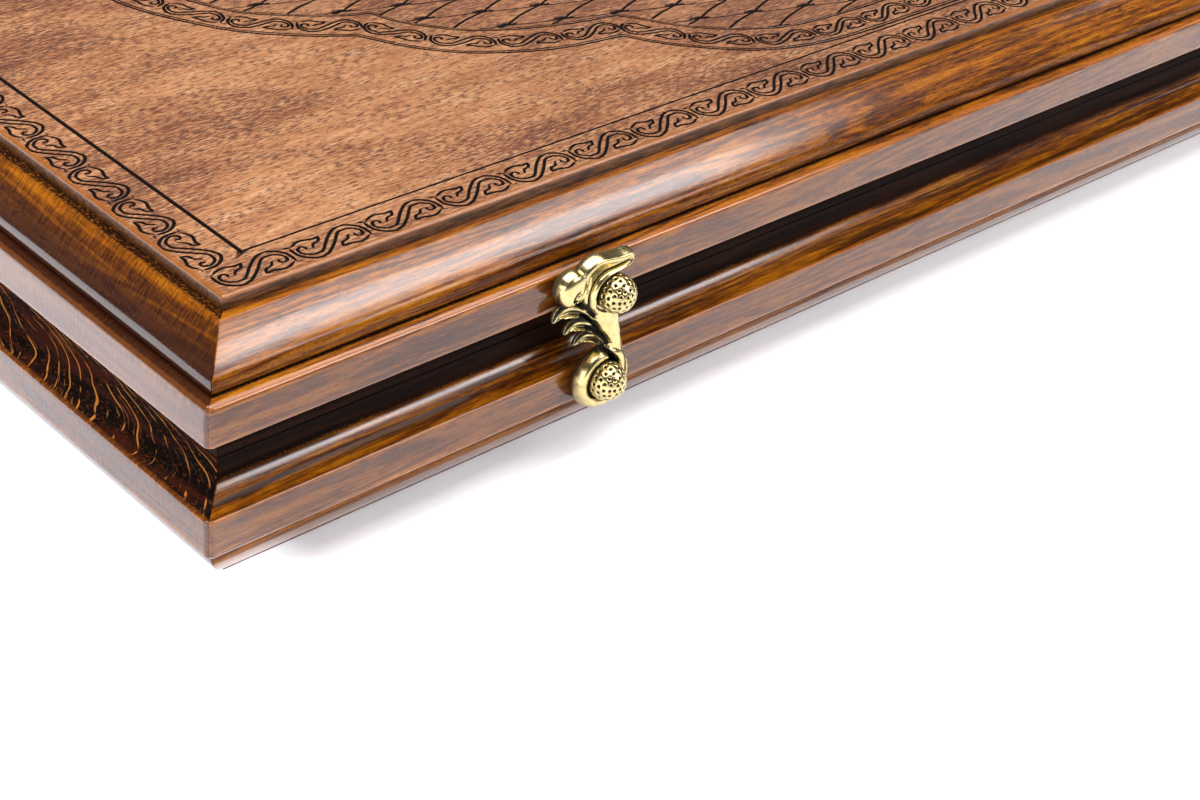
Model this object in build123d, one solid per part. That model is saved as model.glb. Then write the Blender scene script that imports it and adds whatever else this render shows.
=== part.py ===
from build123d import *
import math
import os

# Folding backgammon case, closed. Millimetres, +Z up.
# Origin: middle of the flat underside of the base half.
# +X runs along the long latch side, +Y points to the hinge side.

# ---------------------------------------------------------------- sizes
LEN = 600.0           # long side, over the frame faces
DEP = 300.0           # short side, over the frame faces
HALF = 35.0           # height of one half
SEAM = 0.15           # each half stops this far from the mating plane
Z_M = HALF            # mating plane

WALL = 20.0           # rail width, outer face to the inside of the tray
COVE_D = 7.6          # depth of the finger cove
COVE_H = 9.15         # height of the cove in one half
FACE_TOP = 17.9       # flat outer face ends, then rounds over
PANEL_IN = 12.2       # the carved panel starts this far inside the face
SHOULDER_H = 31.8     # height of the frame beside the panel
PANEL_T = 8.0
BOARD_T = 6.0
REBATE_H = HALF - PANEL_T
TRAY_H = REBATE_H - BOARD_T      # depth of each tray
CORNER_R = 1.8

INLAY_T = 1.2
POINT_N = 6
POINT_LEN = 236.0

HINGE_X = 175.0
HINGE_LEN = 50.0
HINGE_LEAF_T = 1.2
HINGE_LEAF_IN = 18.5
AX_Y = DEP / 2 + 0.25            # hinge axis
AX_Z = Z_M
KNUCKLE_R = 3.0
PIN_R = 1.25
KNUCKLE_GAP = 0.35

LATCH_X = -192.4
STUD_H = 11.9                    # studs above and below the mating plane
STUD_NECK_R = 2.5
STUD_COLLAR_R = 4.0
STUD_COLLAR_T = 0.65
DOME_R = 4.8
DOME_C = 5.4                     # dome centre, out from the face
DOME_FLOOR = 4.0
STUD_SHANK_R = 1.6
STUD_SHANK_L = 9.0
HOOK_BACK = 1.0
HOOK_FRONT = 3.6
HOOK_RIM = 4.6

CHECKER_R = 19.0
CHECKER_T = 9.0
CHECKER_PITCH = 38.6
DIE = 14.0

os.makedirs("parts", exist_ok=True)


def save(name, solids):
    if isinstance(solids, (list, tuple)):
        flat = []
        for s in solids:
            flat.extend(s.solids())
        shape = flat[0] if len(flat) == 1 else Compound(children=[Solid(f.wrapped) for f in flat])
    else:
        fl = solids.solids()
        shape = fl[0] if len(fl) == 1 else Compound(children=[Solid(f.wrapped) for f in fl])
    shape.label = name
    export_step(shape, "parts/" + name + ".step")
    bb = shape.bounding_box()
    print(name, len(shape.solids()), "solids", round(shape.volume, 1), "mm3",
          [round(v, 2) for v in (bb.min.X, bb.max.X, bb.min.Y, bb.max.Y, bb.min.Z, bb.max.Z)])


def box(x0, x1, y0, y1, z0, z1):
    return Pos((x0 + x1) / 2, (y0 + y1) / 2, (z0 + z1) / 2) * Box(x1 - x0, y1 - y0, z1 - z0)


# ------------------------------------------------------------- the moulding
# Points are (d, h): d inwards from the outer face, h away from the mating plane.
ARC, LIN = "arc", "lin"
RAIL_SECTION = [
    (LIN, (COVE_D, SEAM)),
    (ARC, (COVE_D * 0.7071, COVE_H * 0.7071), (0.5, COVE_H - 0.02)),
    (ARC, (0.14, COVE_H + 0.16), (0.0, COVE_H + 0.5)),
    (LIN, (0.0, FACE_TOP)),
    (ARC, (0.42, FACE_TOP + 0.98), (1.4, FACE_TOP + 1.4)),
    (LIN, (3.2, 19.6)),
    (ARC, (2.85, 21.6), (3.75, 23.9)),
    (ARC, (6.5, 28.05), (9.8, SHOULDER_H)),
    (LIN, (PANEL_IN, SHOULDER_H)),
    (LIN, (PANEL_IN, REBATE_H)),
    (LIN, (WALL, REBATE_H)),
    (LIN, (WALL, SEAM + 0.8)),
    (ARC, (WALL - 0.234, SEAM + 0.234), (WALL - 0.8, SEAM)),
]
RAIL_START = (WALL - 0.8, SEAM)


def section_face(place):
    """Face of the rail section, place turns (d, h) into a 3D point."""
    edges = []
    cur = RAIL_START
    for seg in RAIL_SECTION:
        if seg[0] == LIN:
            edges.append(Edge.make_line(place(cur), place(seg[1])))
            cur = seg[1]
        else:
            edges.append(Edge.make_three_point_arc(place(cur), place(seg[1]), place(seg[2])))
            cur = seg[2]
    return Face(Wire(edges))


def zof(side, h):
    return Z_M - h if side == "base" else Z_M + h


def plan_mask(which):
    """Upright prism that leaves one rail of the mitred frame."""
    hx, hy = LEN / 2, DEP / 2
    k = 30.0
    polys = {
        "front": [(-hx, -hy), (hx, -hy), (hx - k, -hy + k), (-hx + k, -hy + k)],
        "back": [(-hx, hy), (-hx + k, hy - k), (hx - k, hy - k), (hx, hy)],
        "left": [(-hx, -hy), (-hx + k, -hy + k), (-hx + k, hy - k), (-hx, hy)],
        "right": [(hx, -hy), (hx, hy), (hx - k, hy - k), (hx - k, -hy + k)],
    }
    pts = [(x, y, -5.0) for x, y in polys[which]]
    prism = extrude(Face(Wire.make_polygon(pts, close=True)), amount=90, dir=(0, 0, 1))
    slab = Pos(0, 0, 40) * Box(LEN, DEP, 90)
    slab = fillet(slab.edges().filter_by(Axis.Z), CORNER_R)
    return prism & slab


def rail(side, which):
    hx, hy = LEN / 2, DEP / 2
    if which == "front":
        f = section_face(lambda p: (-hx, -hy + p[0], zof(side, p[1])))
        bar = extrude(f, amount=LEN, dir=(1, 0, 0))
    elif which == "back":
        f = section_face(lambda p: (-hx, hy - p[0], zof(side, p[1])))
        bar = extrude(f, amount=LEN, dir=(1, 0, 0))
    elif which == "left":
        f = section_face(lambda p: (-hx + p[0], -hy, zof(side, p[1])))
        bar = extrude(f, amount=DEP, dir=(0, 1, 0))
    else:
        f = section_face(lambda p: (hx - p[0], -hy, zof(side, p[1])))
        bar = extrude(f, amount=DEP, dir=(0, 1, 0))
    return bar & plan_mask(which)


# ------------------------------------------------------------- hinges
KN_N = 5
KN_W = HINGE_LEN / KN_N


def knuckle_span(xc, i):
    x0 = xc - HINGE_LEN / 2 + i * KN_W
    return x0 + KNUCKLE_GAP / 2, x0 + KN_W - KNUCKLE_GAP / 2


def xcyl(x0, x1, y, z, r):
    return Pos((x0 + x1) / 2, y, z) * Rot(0, 90, 0) * Cylinder(r, x1 - x0)


def screw_spots(xc):
    return [(xc - 17.0, DEP / 2 - 13.4), (xc, DEP / 2 - 12.2), (xc + 17.0, DEP / 2 - 13.4)]


def hinge_leaf(side, xc):
    own = (0, 2, 4) if side == "base" else (1, 3)
    other = (1, 3) if side == "base" else (0, 2, 4)
    za, zb = sorted((zof(side, SEAM), zof(side, SEAM + HINGE_LEAF_T)))
    plate = box(xc - HINGE_LEN / 2, xc + HINGE_LEN / 2, DEP / 2 - HINGE_LEAF_IN, AX_Y, za, zb)
    leaf = plate
    for i in own:
        a, b = knuckle_span(xc, i)
        leaf = leaf + xcyl(a, b, AX_Y, AX_Z, KNUCKLE_R)
    for i in other:
        a, b = knuckle_span(xc, i)
        leaf = leaf - xcyl(a - KNUCKLE_GAP, b + KNUCKLE_GAP, AX_Y, AX_Z, KNUCKLE_R + 0.4)
    r = PIN_R if side == "base" else PIN_R + 0.06
    leaf = leaf - xcyl(xc - 40, xc + 40, AX_Y, AX_Z, r)
    for sx, sy in screw_spots(xc):
        leaf = leaf - Pos(sx, sy, (za + zb) / 2) * Cylinder(1.27, 6)
        leaf = leaf - csink(side, sx, sy, 2.32)
    return leaf


def csink(side, sx, sy, r):
    """Countersink cone with its wide end in the mating face."""
    t = 1.1
    if side == "base":
        return Pos(sx, sy, Z_M - SEAM - t / 2) * Cone(1.2, r, t)
    return Pos(sx, sy, Z_M + SEAM + t / 2) * Cone(r, 1.2, t)


def mortise(side, xc):
    za, zb = sorted((zof(side, -2.0), zof(side, SEAM + HINGE_LEAF_T)))
    return box(xc - HINGE_LEN / 2, xc + HINGE_LEN / 2, DEP / 2 - HINGE_LEAF_IN, DEP / 2 + 3, za, zb)


def wood_screw(side, sx, sy):
    s = -1 if side == "base" else 1
    top = Z_M + s * SEAM
    head = csink(side, sx, sy, 2.3)
    shank_l, tip_l = 6.4, 1.6
    c0 = top + s * 1.1
    shank = Pos(sx, sy, c0 + s * shank_l / 2) * Cylinder(1.2, shank_l)
    if side == "base":
        tip = Pos(sx, sy, c0 - shank_l - tip_l / 2) * Cone(0.15, 1.2, tip_l)
    else:
        tip = Pos(sx, sy, c0 + shank_l + tip_l / 2) * Cone(1.2, 0.15, tip_l)
    body = head + shank + tip
    slot = Pos(sx, sy, top) * Rot(0, 0, 30) * Box(6.0, 0.5, 0.9)
    return body - slot


def screw_hole(side, sx, sy):
    s = -1 if side == "base" else 1
    top = Z_M + s * SEAM
    return Pos(sx, sy, top + s * 4.6) * Cylinder(1.22, 9.2)


# ------------------------------------------------------------- latches
def ycyl(x, z, p0, p1, r):
    """Cylinder along Y, p0 and p1 measured out from the front face."""
    y0, y1 = -DEP / 2 - p0, -DEP / 2 - p1
    return Pos(x, (y0 + y1) / 2, z) * Rot(90, 0, 0) * Cylinder(r, abs(y1 - y0))


def stud(x, z):
    body = ycyl(x, z, 0, STUD_COLLAR_T, STUD_COLLAR_R)
    body = body + ycyl(x, z, STUD_COLLAR_T, DOME_FLOOR + 0.2, STUD_NECK_R)
    ball = Pos(x, -DEP / 2 - DOME_C, z) * Sphere(DOME_R)
    keep = ycyl(x, z, DOME_FLOOR, DOME_C + DOME_R + 1, DOME_R + 1)
    body = body + (ball & keep)
    body = body + ycyl(x, z, -STUD_SHANK_L, 0, STUD_SHANK_R)
    return body


def stud_hole(x, z):
    return ycyl(x, z, -STUD_SHANK_L - 0.4, 1, STUD_SHANK_R + 0.02)


# Hook outline about its pivot: u to the right, w up.
HOOK_OUT = [
    (6.6, 3.2), (5.9, 7.7), (4.3, 12.2), (3.4, 15.8), (3.0, 18.4), (2.3, 20.2),
    (1.2, 20.75), (0.0, 20.8), (-1.15, 21.03), (-2.12, 21.68), (-2.77, 22.65), (-3.0, 23.8),
    (-2.77, 24.95), (-2.12, 25.92), (-1.15, 26.57), (0.0, 26.85), (1.6, 27.3), (3.3, 28.5),
    (4.8, 30.0), (5.4, 31.4), (4.8, 32.8), (3.0, 33.8), (-0.5, 34.4), (-5.0, 34.4), (-8.0, 33.4),
    (-9.7, 31.6), (-9.4, 27.0), (-8.6, 23.6), (-9.6, 21.9), (-13.0, 22.8), (-15.2, 22.2),
    (-16.2, 19.6), (-13.8, 19.5), (-11.0, 19.2), (-8.6, 18.0), (-9.6, 17.3), (-12.0, 17.3),
    (-12.6, 15.3), (-10.6, 15.6), (-7.8, 15.2), (-5.8, 14.3), (-6.6, 13.9), (-8.6, 13.4),
    (-9.0, 11.3), (-6.6, 11.4), (-3.9, 10.7), (-1.4, 9.2), (0.6, 6.8), (1.0, 2.0),
]
LEAF_TOP = [
    (-1.0, 29.0), (1.0, 29.1), (3.2, 29.5), (4.6, 30.6), (5.0, 31.6), (4.4, 32.6), (2.8, 33.4),
    (-0.5, 34.0), (-5.0, 34.0), (-7.8, 33.0), (-9.2, 31.2), (-8.8, 27.0), (-7.9, 23.2),
    (-6.4, 20.6), (-5.9, 22.6), (-5.6, 25.0), (-4.4, 27.4), (-2.8, 28.6),
]


def flat_plate(xc, zc, pts, p0, p1):
    y0 = -DEP / 2 - p0
    w = Wire.make_polygon([(xc + u, y0, zc + v) for u, v in pts], close=True)
    return extrude(Face(w), amount=p1 - p0, dir=(0, -1, 0))


def hook(xc):
    zc = Z_M - STUD_H
    body = ycyl(xc, zc, HOOK_BACK, HOOK_FRONT, 8.0)
    body = body + flat_plate(xc, zc, HOOK_OUT, HOOK_BACK, HOOK_FRONT)
    body = body + ycyl(xc - 13.2, zc + 28.2, HOOK_BACK, 4.9, 5.2)
    rim = ycyl(xc, zc, HOOK_FRONT - 0.1, HOOK_RIM, 7.7) - ycyl(xc, zc, 0, 9, 5.3)
    body = body + rim
    body = body + flat_plate(xc, zc, LEAF_TOP, HOOK_FRONT - 0.1, 4.9)
    body = body - ycyl(xc, zc, 0, 9, STUD_NECK_R + 0.06)
    # room for the head of the catch stud
    body = body - ycyl(xc, zc + 2 * STUD_H, HOOK_FRONT, 9, 5.15)
    return body


# ------------------------------------------------------------- trays
def band_y(i):
    inner = DEP - 2 * WALL
    return -inner / 2 + (i + 0.5) * inner / POINT_N


def point_prism(side, end, i, grow=0.0, depth=INLAY_T):
    inner_x = LEN / 2 - WALL
    w = (DEP - 2 * WALL) / POINT_N
    yc = band_y(i)
    x0 = -inner_x if end == "left" else inner_x
    s = 1 if end == "left" else -1
    z_surf = zof(side, TRAY_H)
    pts = [(x0 + s * 0.3, yc - w / 2 + 0.4), (x0 + s * POINT_LEN, yc), (x0 + s * 0.3, yc + w / 2 - 0.4)]
    f = Face(Wire.make_polygon([(x, y, z_surf) for x, y in pts], close=True))
    d = -1 if side == "base" else 1
    return extrude(f, amount=depth, dir=(0, 0, d))


def point_sets(side):
    light, dark = [], []
    for i in range(POINT_N):
        (light if i % 2 == 0 else dark).append(point_prism(side, "left", i))
        (dark if i % 2 == 0 else light).append(point_prism(side, "right", i))
    return light, dark


def playing_board(side):
    za, zb = sorted((zof(side, TRAY_H), zof(side, REBATE_H)))
    b = box(-LEN / 2 + WALL, LEN / 2 - WALL, -DEP / 2 + WALL, DEP / 2 - WALL, za, zb)
    for end in ("left", "right"):
        for i in range(POINT_N):
            b = b - point_prism(side, end, i)
    return b


def outer_panel(side):
    c = PANEL_IN + 0.05
    za, zb = sorted((zof(side, REBATE_H), zof(side, HALF)))
    p = box(-LEN / 2 + c, LEN / 2 - c, -DEP / 2 + c, DEP / 2 - c, za, zb)
    p = fillet(p.edges().filter_by(Axis.Z), 0.8)
    zface = za if side == "base" else zb
    rim = [e for e in p.edges() if abs(e.center().Z - zface) < 1e-3]
    return fillet(rim, 0.7)


# ------------------------------------------------------------- game pieces
def checker(x, y, z):
    r, t = CHECKER_R, CHECKER_T
    pts = [(0, 0.7), (r - 7.2, 0.7), (r - 6.2, 0.0), (r - 1.6, 0.0), (r, 1.6),
           (r, t - 1.6), (r - 1.6, t), (r - 6.2, t), (r - 7.2, t - 0.7), (0, t - 0.7)]
    f = Face(Wire.make_polygon([(a, 0, b) for a, b in pts], close=True))
    return Pos(x, y, z) * revolve(f, Axis.Z, 360)


def die(x, y, z, turn, up):
    g = 3.4
    lay = {
        1: [(0, 0)],
        2: [(-g, -g), (g, g)],
        3: [(-g, -g), (0, 0), (g, g)],
        4: [(-g, -g), (g, g), (-g, g), (g, -g)],
        5: [(-g, -g), (g, g), (-g, g), (g, -g), (0, 0)],
        6: [(-g, -g), (g, g), (-g, g), (g, -g), (-g, 0), (g, 0)],
    }
    turns = {1: Rot(0, 0, 0), 6: Rot(180, 0, 0), 2: Rot(90, 0, 0), 5: Rot(-90, 0, 0),
             3: Rot(0, 90, 0), 4: Rot(0, -90, 0)}
    back = {1: Rot(0, 0, 0), 6: Rot(180, 0, 0), 2: Rot(-90, 0, 0), 5: Rot(90, 0, 0),
            3: Rot(0, -90, 0), 4: Rot(0, 90, 0)}
    c = Box(DIE, DIE, DIE)
    c = fillet(c.edges(), 1.2)
    for n, rot in turns.items():
        for a, b in lay[n]:
            c = c - rot * Pos(a, b, DIE / 2 + 0.7) * Sphere(1.5)
    return Pos(x, y, z + DIE / 2) * Rot(0, 0, turn) * back[up] * c.solids()[0]


# ================================================================ build
for side in ("base", "lid"):
    for which in ("front", "back", "left", "right"):
        r = rail(side, which)
        if which == "back":
            for xc in (-HINGE_X, HINGE_X):
                r = r - mortise(side, xc)
                for sx, sy in screw_spots(xc):
                    r = r - screw_hole(side, sx, sy)
        if which == "front":
            for xc in (LATCH_X, -LATCH_X):
                r = r - stud_hole(xc, zof(side, STUD_H))
        save(side + "_" + which + "_rail", r)
    save(side + "_carved_panel", outer_panel(side))
    save(side + "_playing_board", playing_board(side))
    light, dark = point_sets(side)
    save(side + "_light_points", light)
    save(side + "_dark_points", dark)

for label, xc in (("left", -HINGE_X), ("right", HINGE_X)):
    save("hinge_" + label + "_base_leaf", hinge_leaf("base", xc))
    save("hinge_" + label + "_lid_leaf", hinge_leaf("lid", xc))
    pin = xcyl(xc - HINGE_LEN / 2 - 0.3, xc + HINGE_LEN / 2 + 0.3, AX_Y, AX_Z, PIN_R)
    pin = pin + xcyl(xc - HINGE_LEN / 2 - 1.1, xc - HINGE_LEN / 2, AX_Y, AX_Z, 1.9)
    pin = pin + xcyl(xc + HINGE_LEN / 2, xc + HINGE_LEN / 2 + 1.1, AX_Y, AX_Z, 1.9)
    save("hinge_" + label + "_pin", pin)

for side in ("base", "lid"):
    screws = [wood_screw(side, sx, sy) for xc in (-HINGE_X, HINGE_X) for sx, sy in screw_spots(xc)]
    save("hinge_" + side + "_screws", screws)

for label, xc in (("left", LATCH_X), ("right", -LATCH_X)):
    save("latch_" + label + "_hook", hook(xc))
    save("latch_" + label + "_pivot_stud", stud(xc, Z_M - STUD_H))
    save("latch_" + label + "_catch_stud", stud(xc, Z_M + STUD_H))

floor_z = zof("base", TRAY_H)
x_first = -LEN / 2 + WALL + CHECKER_R + 0.8
light, dark = [], []
for col in range(5):
    for row in range(3):
        light.append(checker(x_first + col * CHECKER_PITCH, band_y(row), floor_z))
        dark.append(checker(-x_first - col * CHECKER_PITCH, band_y(5 - row), floor_z))
save("light_checkers", light)
save("dark_checkers", dark)
save("dice", [die(148.0, -58.0, floor_z, 24, 6), die(176.0, -74.0, floor_z, -38, 5)])
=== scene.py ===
import math

import bpy
import numpy as np
from mathutils import Matrix, Vector
from mathutils.geometry import delaunay_2d_cdt
from mathutils.kdtree import KDTree


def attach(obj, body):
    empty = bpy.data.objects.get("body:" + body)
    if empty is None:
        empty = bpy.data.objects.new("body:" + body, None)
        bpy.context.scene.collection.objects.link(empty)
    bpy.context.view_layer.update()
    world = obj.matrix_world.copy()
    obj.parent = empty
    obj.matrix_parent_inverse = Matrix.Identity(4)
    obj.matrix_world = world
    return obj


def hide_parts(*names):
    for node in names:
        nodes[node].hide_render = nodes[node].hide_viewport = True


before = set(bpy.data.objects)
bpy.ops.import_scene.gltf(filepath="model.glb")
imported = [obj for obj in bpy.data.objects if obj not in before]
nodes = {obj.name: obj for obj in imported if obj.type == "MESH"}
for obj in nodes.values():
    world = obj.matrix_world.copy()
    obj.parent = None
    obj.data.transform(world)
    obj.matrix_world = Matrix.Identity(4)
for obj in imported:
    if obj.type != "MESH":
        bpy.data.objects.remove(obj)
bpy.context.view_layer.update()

scene = bpy.context.scene
MM = 0.001

# sizes of the case, mm
HX, HY, HALF, SEAM = 300.0, 150.0, 35.0, 0.15
WALL, PANEL_IN, SHOULDER_H, REBATE_H = 20.0, 12.2, 31.8, 27.0
TRAY_H = 21.0
LATCH_X, STUD_H = -192.4, 11.9
HINGE_X, HINGE_LEN, LEAF_IN, LEAF_T = 175.0, 50.0, 18.5, 1.2


# ------------------------------------------------------------------ camera
cam_data = bpy.data.cameras.new("camera")
cam = bpy.data.objects.new("camera", cam_data)
scene.collection.objects.link(cam)
cam_r = Vector((0.72771184, -0.67958468, 0.09273694))
cam_d = Vector((-0.32480165, -0.46053198, -0.82608364))
cam_f = Vector((0.60410212, 0.57102973, -0.5558648))
cam.matrix_world = Matrix((
    (cam_r.x, -cam_d.x, -cam_f.x, -0.51372693),
    (cam_r.y, -cam_d.y, -cam_f.y, -0.45778036),
    (cam_r.z, -cam_d.z, -cam_f.z, 0.31245318),
    (0, 0, 0, 1),
))
cam_data.sensor_width = 36.0
cam_data.lens = 68.046
cam_data.clip_start = 0.02
cam_data.clip_end = 50.0
cam_data.dof.use_dof = False
scene.camera = cam


# ------------------------------------------------------------------ node helper
def lin(*rgb):
    """sRGB 0-255 to a linear RGBA colour."""
    out = []
    for v in rgb:
        v = v / 255.0
        out.append(v / 12.92 if v <= 0.04045 else ((v + 0.055) / 1.055) ** 2.4)
    return (*out, 1.0)


def wd(*rgb):
    """A wood colour as it looks in the strong studio light, to the colour of the surface."""
    c = lin(*rgb)
    return (c[0] * 0.36, c[1] * 0.35, c[2] * 0.37, 1.0)


class Mat:
    def __init__(self, name):
        self.m = bpy.data.materials.new(name)
        self.m.use_nodes = True
        self.nt = self.m.node_tree
        self.nt.nodes.clear()
        self.out = self.nt.nodes.new("ShaderNodeOutputMaterial")
        self.p = self.nt.nodes.new("ShaderNodeBsdfPrincipled")
        self.nt.links.new(self.p.outputs[0], self.out.inputs[0])

    def put(self, sock, v):
        if isinstance(v, bpy.types.NodeSocket):
            self.nt.links.new(v, sock)
        elif v is not None:
            sock.default_value = v

    def set(self, **kw):
        for k, v in kw.items():
            self.put(self.p.inputs[k.replace("_", " ")], v)
        return self

    def node(self, kind, **props):
        n = self.nt.nodes.new(kind)
        for k, v in props.items():
            setattr(n, k, v)
        return n

    def obj(self):
        """Object coordinates in millimetres."""
        tc = self.node("ShaderNodeTexCoord")
        return self.vmath("SCALE", tc.outputs["Object"], scale=1000.0)

    def vmath(self, op, a, b=None, scale=None):
        n = self.node("ShaderNodeVectorMath", operation=op)
        self.put(n.inputs[0], a)
        if b is not None:
            self.put(n.inputs[1], b)
        if scale is not None:
            self.put(n.inputs["Scale"], scale)
        return n.outputs[1] if op in ("LENGTH", "DOT_PRODUCT", "DISTANCE") else n.outputs[0]

    def xyz(self, v):
        n = self.node("ShaderNodeSeparateXYZ")
        self.put(n.inputs[0], v)
        return n.outputs[0], n.outputs[1], n.outputs[2]

    def vec(self, x, y, z):
        n = self.node("ShaderNodeCombineXYZ")
        for s, v in zip(n.inputs, (x, y, z)):
            self.put(s, v)
        return n.outputs[0]

    def math(self, op, a, b=None, c=None, clamp=False):
        n = self.node("ShaderNodeMath", operation=op, use_clamp=clamp)
        for s, v in zip(n.inputs, (a, b, c)):
            if v is not None:
                self.put(s, v)
        return n.outputs[0]

    def noise(self, v, scale=1.0, detail=3.0, rough=0.5, dist=0.0):
        n = self.node("ShaderNodeTexNoise")
        self.put(n.inputs["Vector"], v)
        n.inputs["Scale"].default_value = scale
        n.inputs["Detail"].default_value = detail
        n.inputs["Roughness"].default_value = rough
        n.inputs["Distortion"].default_value = dist
        return n.outputs["Fac"]

    def voronoi(self, v, scale=1.0, feature="F1", rnd=1.0):
        n = self.node("ShaderNodeTexVoronoi", feature=feature)
        self.put(n.inputs["Vector"], v)
        n.inputs["Scale"].default_value = scale
        n.inputs["Randomness"].default_value = rnd
        return n.outputs["Distance"]

    def remap(self, v, a, b, c=0.0, d=1.0, smooth=True):
        n = self.node("ShaderNodeMapRange", interpolation_type="SMOOTHSTEP" if smooth else "LINEAR")
        self.put(n.inputs["Value"], v)
        n.inputs["From Min"].default_value = a
        n.inputs["From Max"].default_value = b
        n.inputs["To Min"].default_value = c
        n.inputs["To Max"].default_value = d
        return n.outputs[0]

    def ramp(self, v, stops):
        n = self.node("ShaderNodeValToRGB")
        self.put(n.inputs[0], v)
        els = n.color_ramp.elements
        els[0].position, els[0].color = stops[0]
        els[1].position, els[1].color = stops[-1]
        for pos, col in stops[1:-1]:
            e = els.new(pos)
            e.color = col
        return n.outputs[0]

    def mix(self, fac, a, b, mode="MIX"):
        n = self.node("ShaderNodeMix", data_type="RGBA", blend_type=mode)
        self.put(n.inputs[0], fac)
        self.put(n.inputs[6], a)
        self.put(n.inputs[7], b)
        return n.outputs[2]

    def attr(self, name):
        n = self.node("ShaderNodeAttribute", attribute_name=name)
        return n.outputs["Fac"]

    def bump(self, height, strength, dist=0.0002, normal=None):
        n = self.node("ShaderNodeBump")
        n.inputs["Strength"].default_value = strength
        n.inputs["Distance"].default_value = dist
        self.put(n.inputs["Height"], height)
        if normal is not None:
            self.put(n.inputs["Normal"], normal)
        return n.outputs[0]


def stretched(M, p, axis, along, across, shift=(0.0, 0.0, 0.0)):
    """Coordinates squeezed along the grain, so that a noise makes long fibres."""
    s = (along, across, across) if axis == "X" else (across, along, across)
    moved = M.vmath("ADD", p, shift)
    return M.vmath("MULTIPLY", moved, s)


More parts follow.
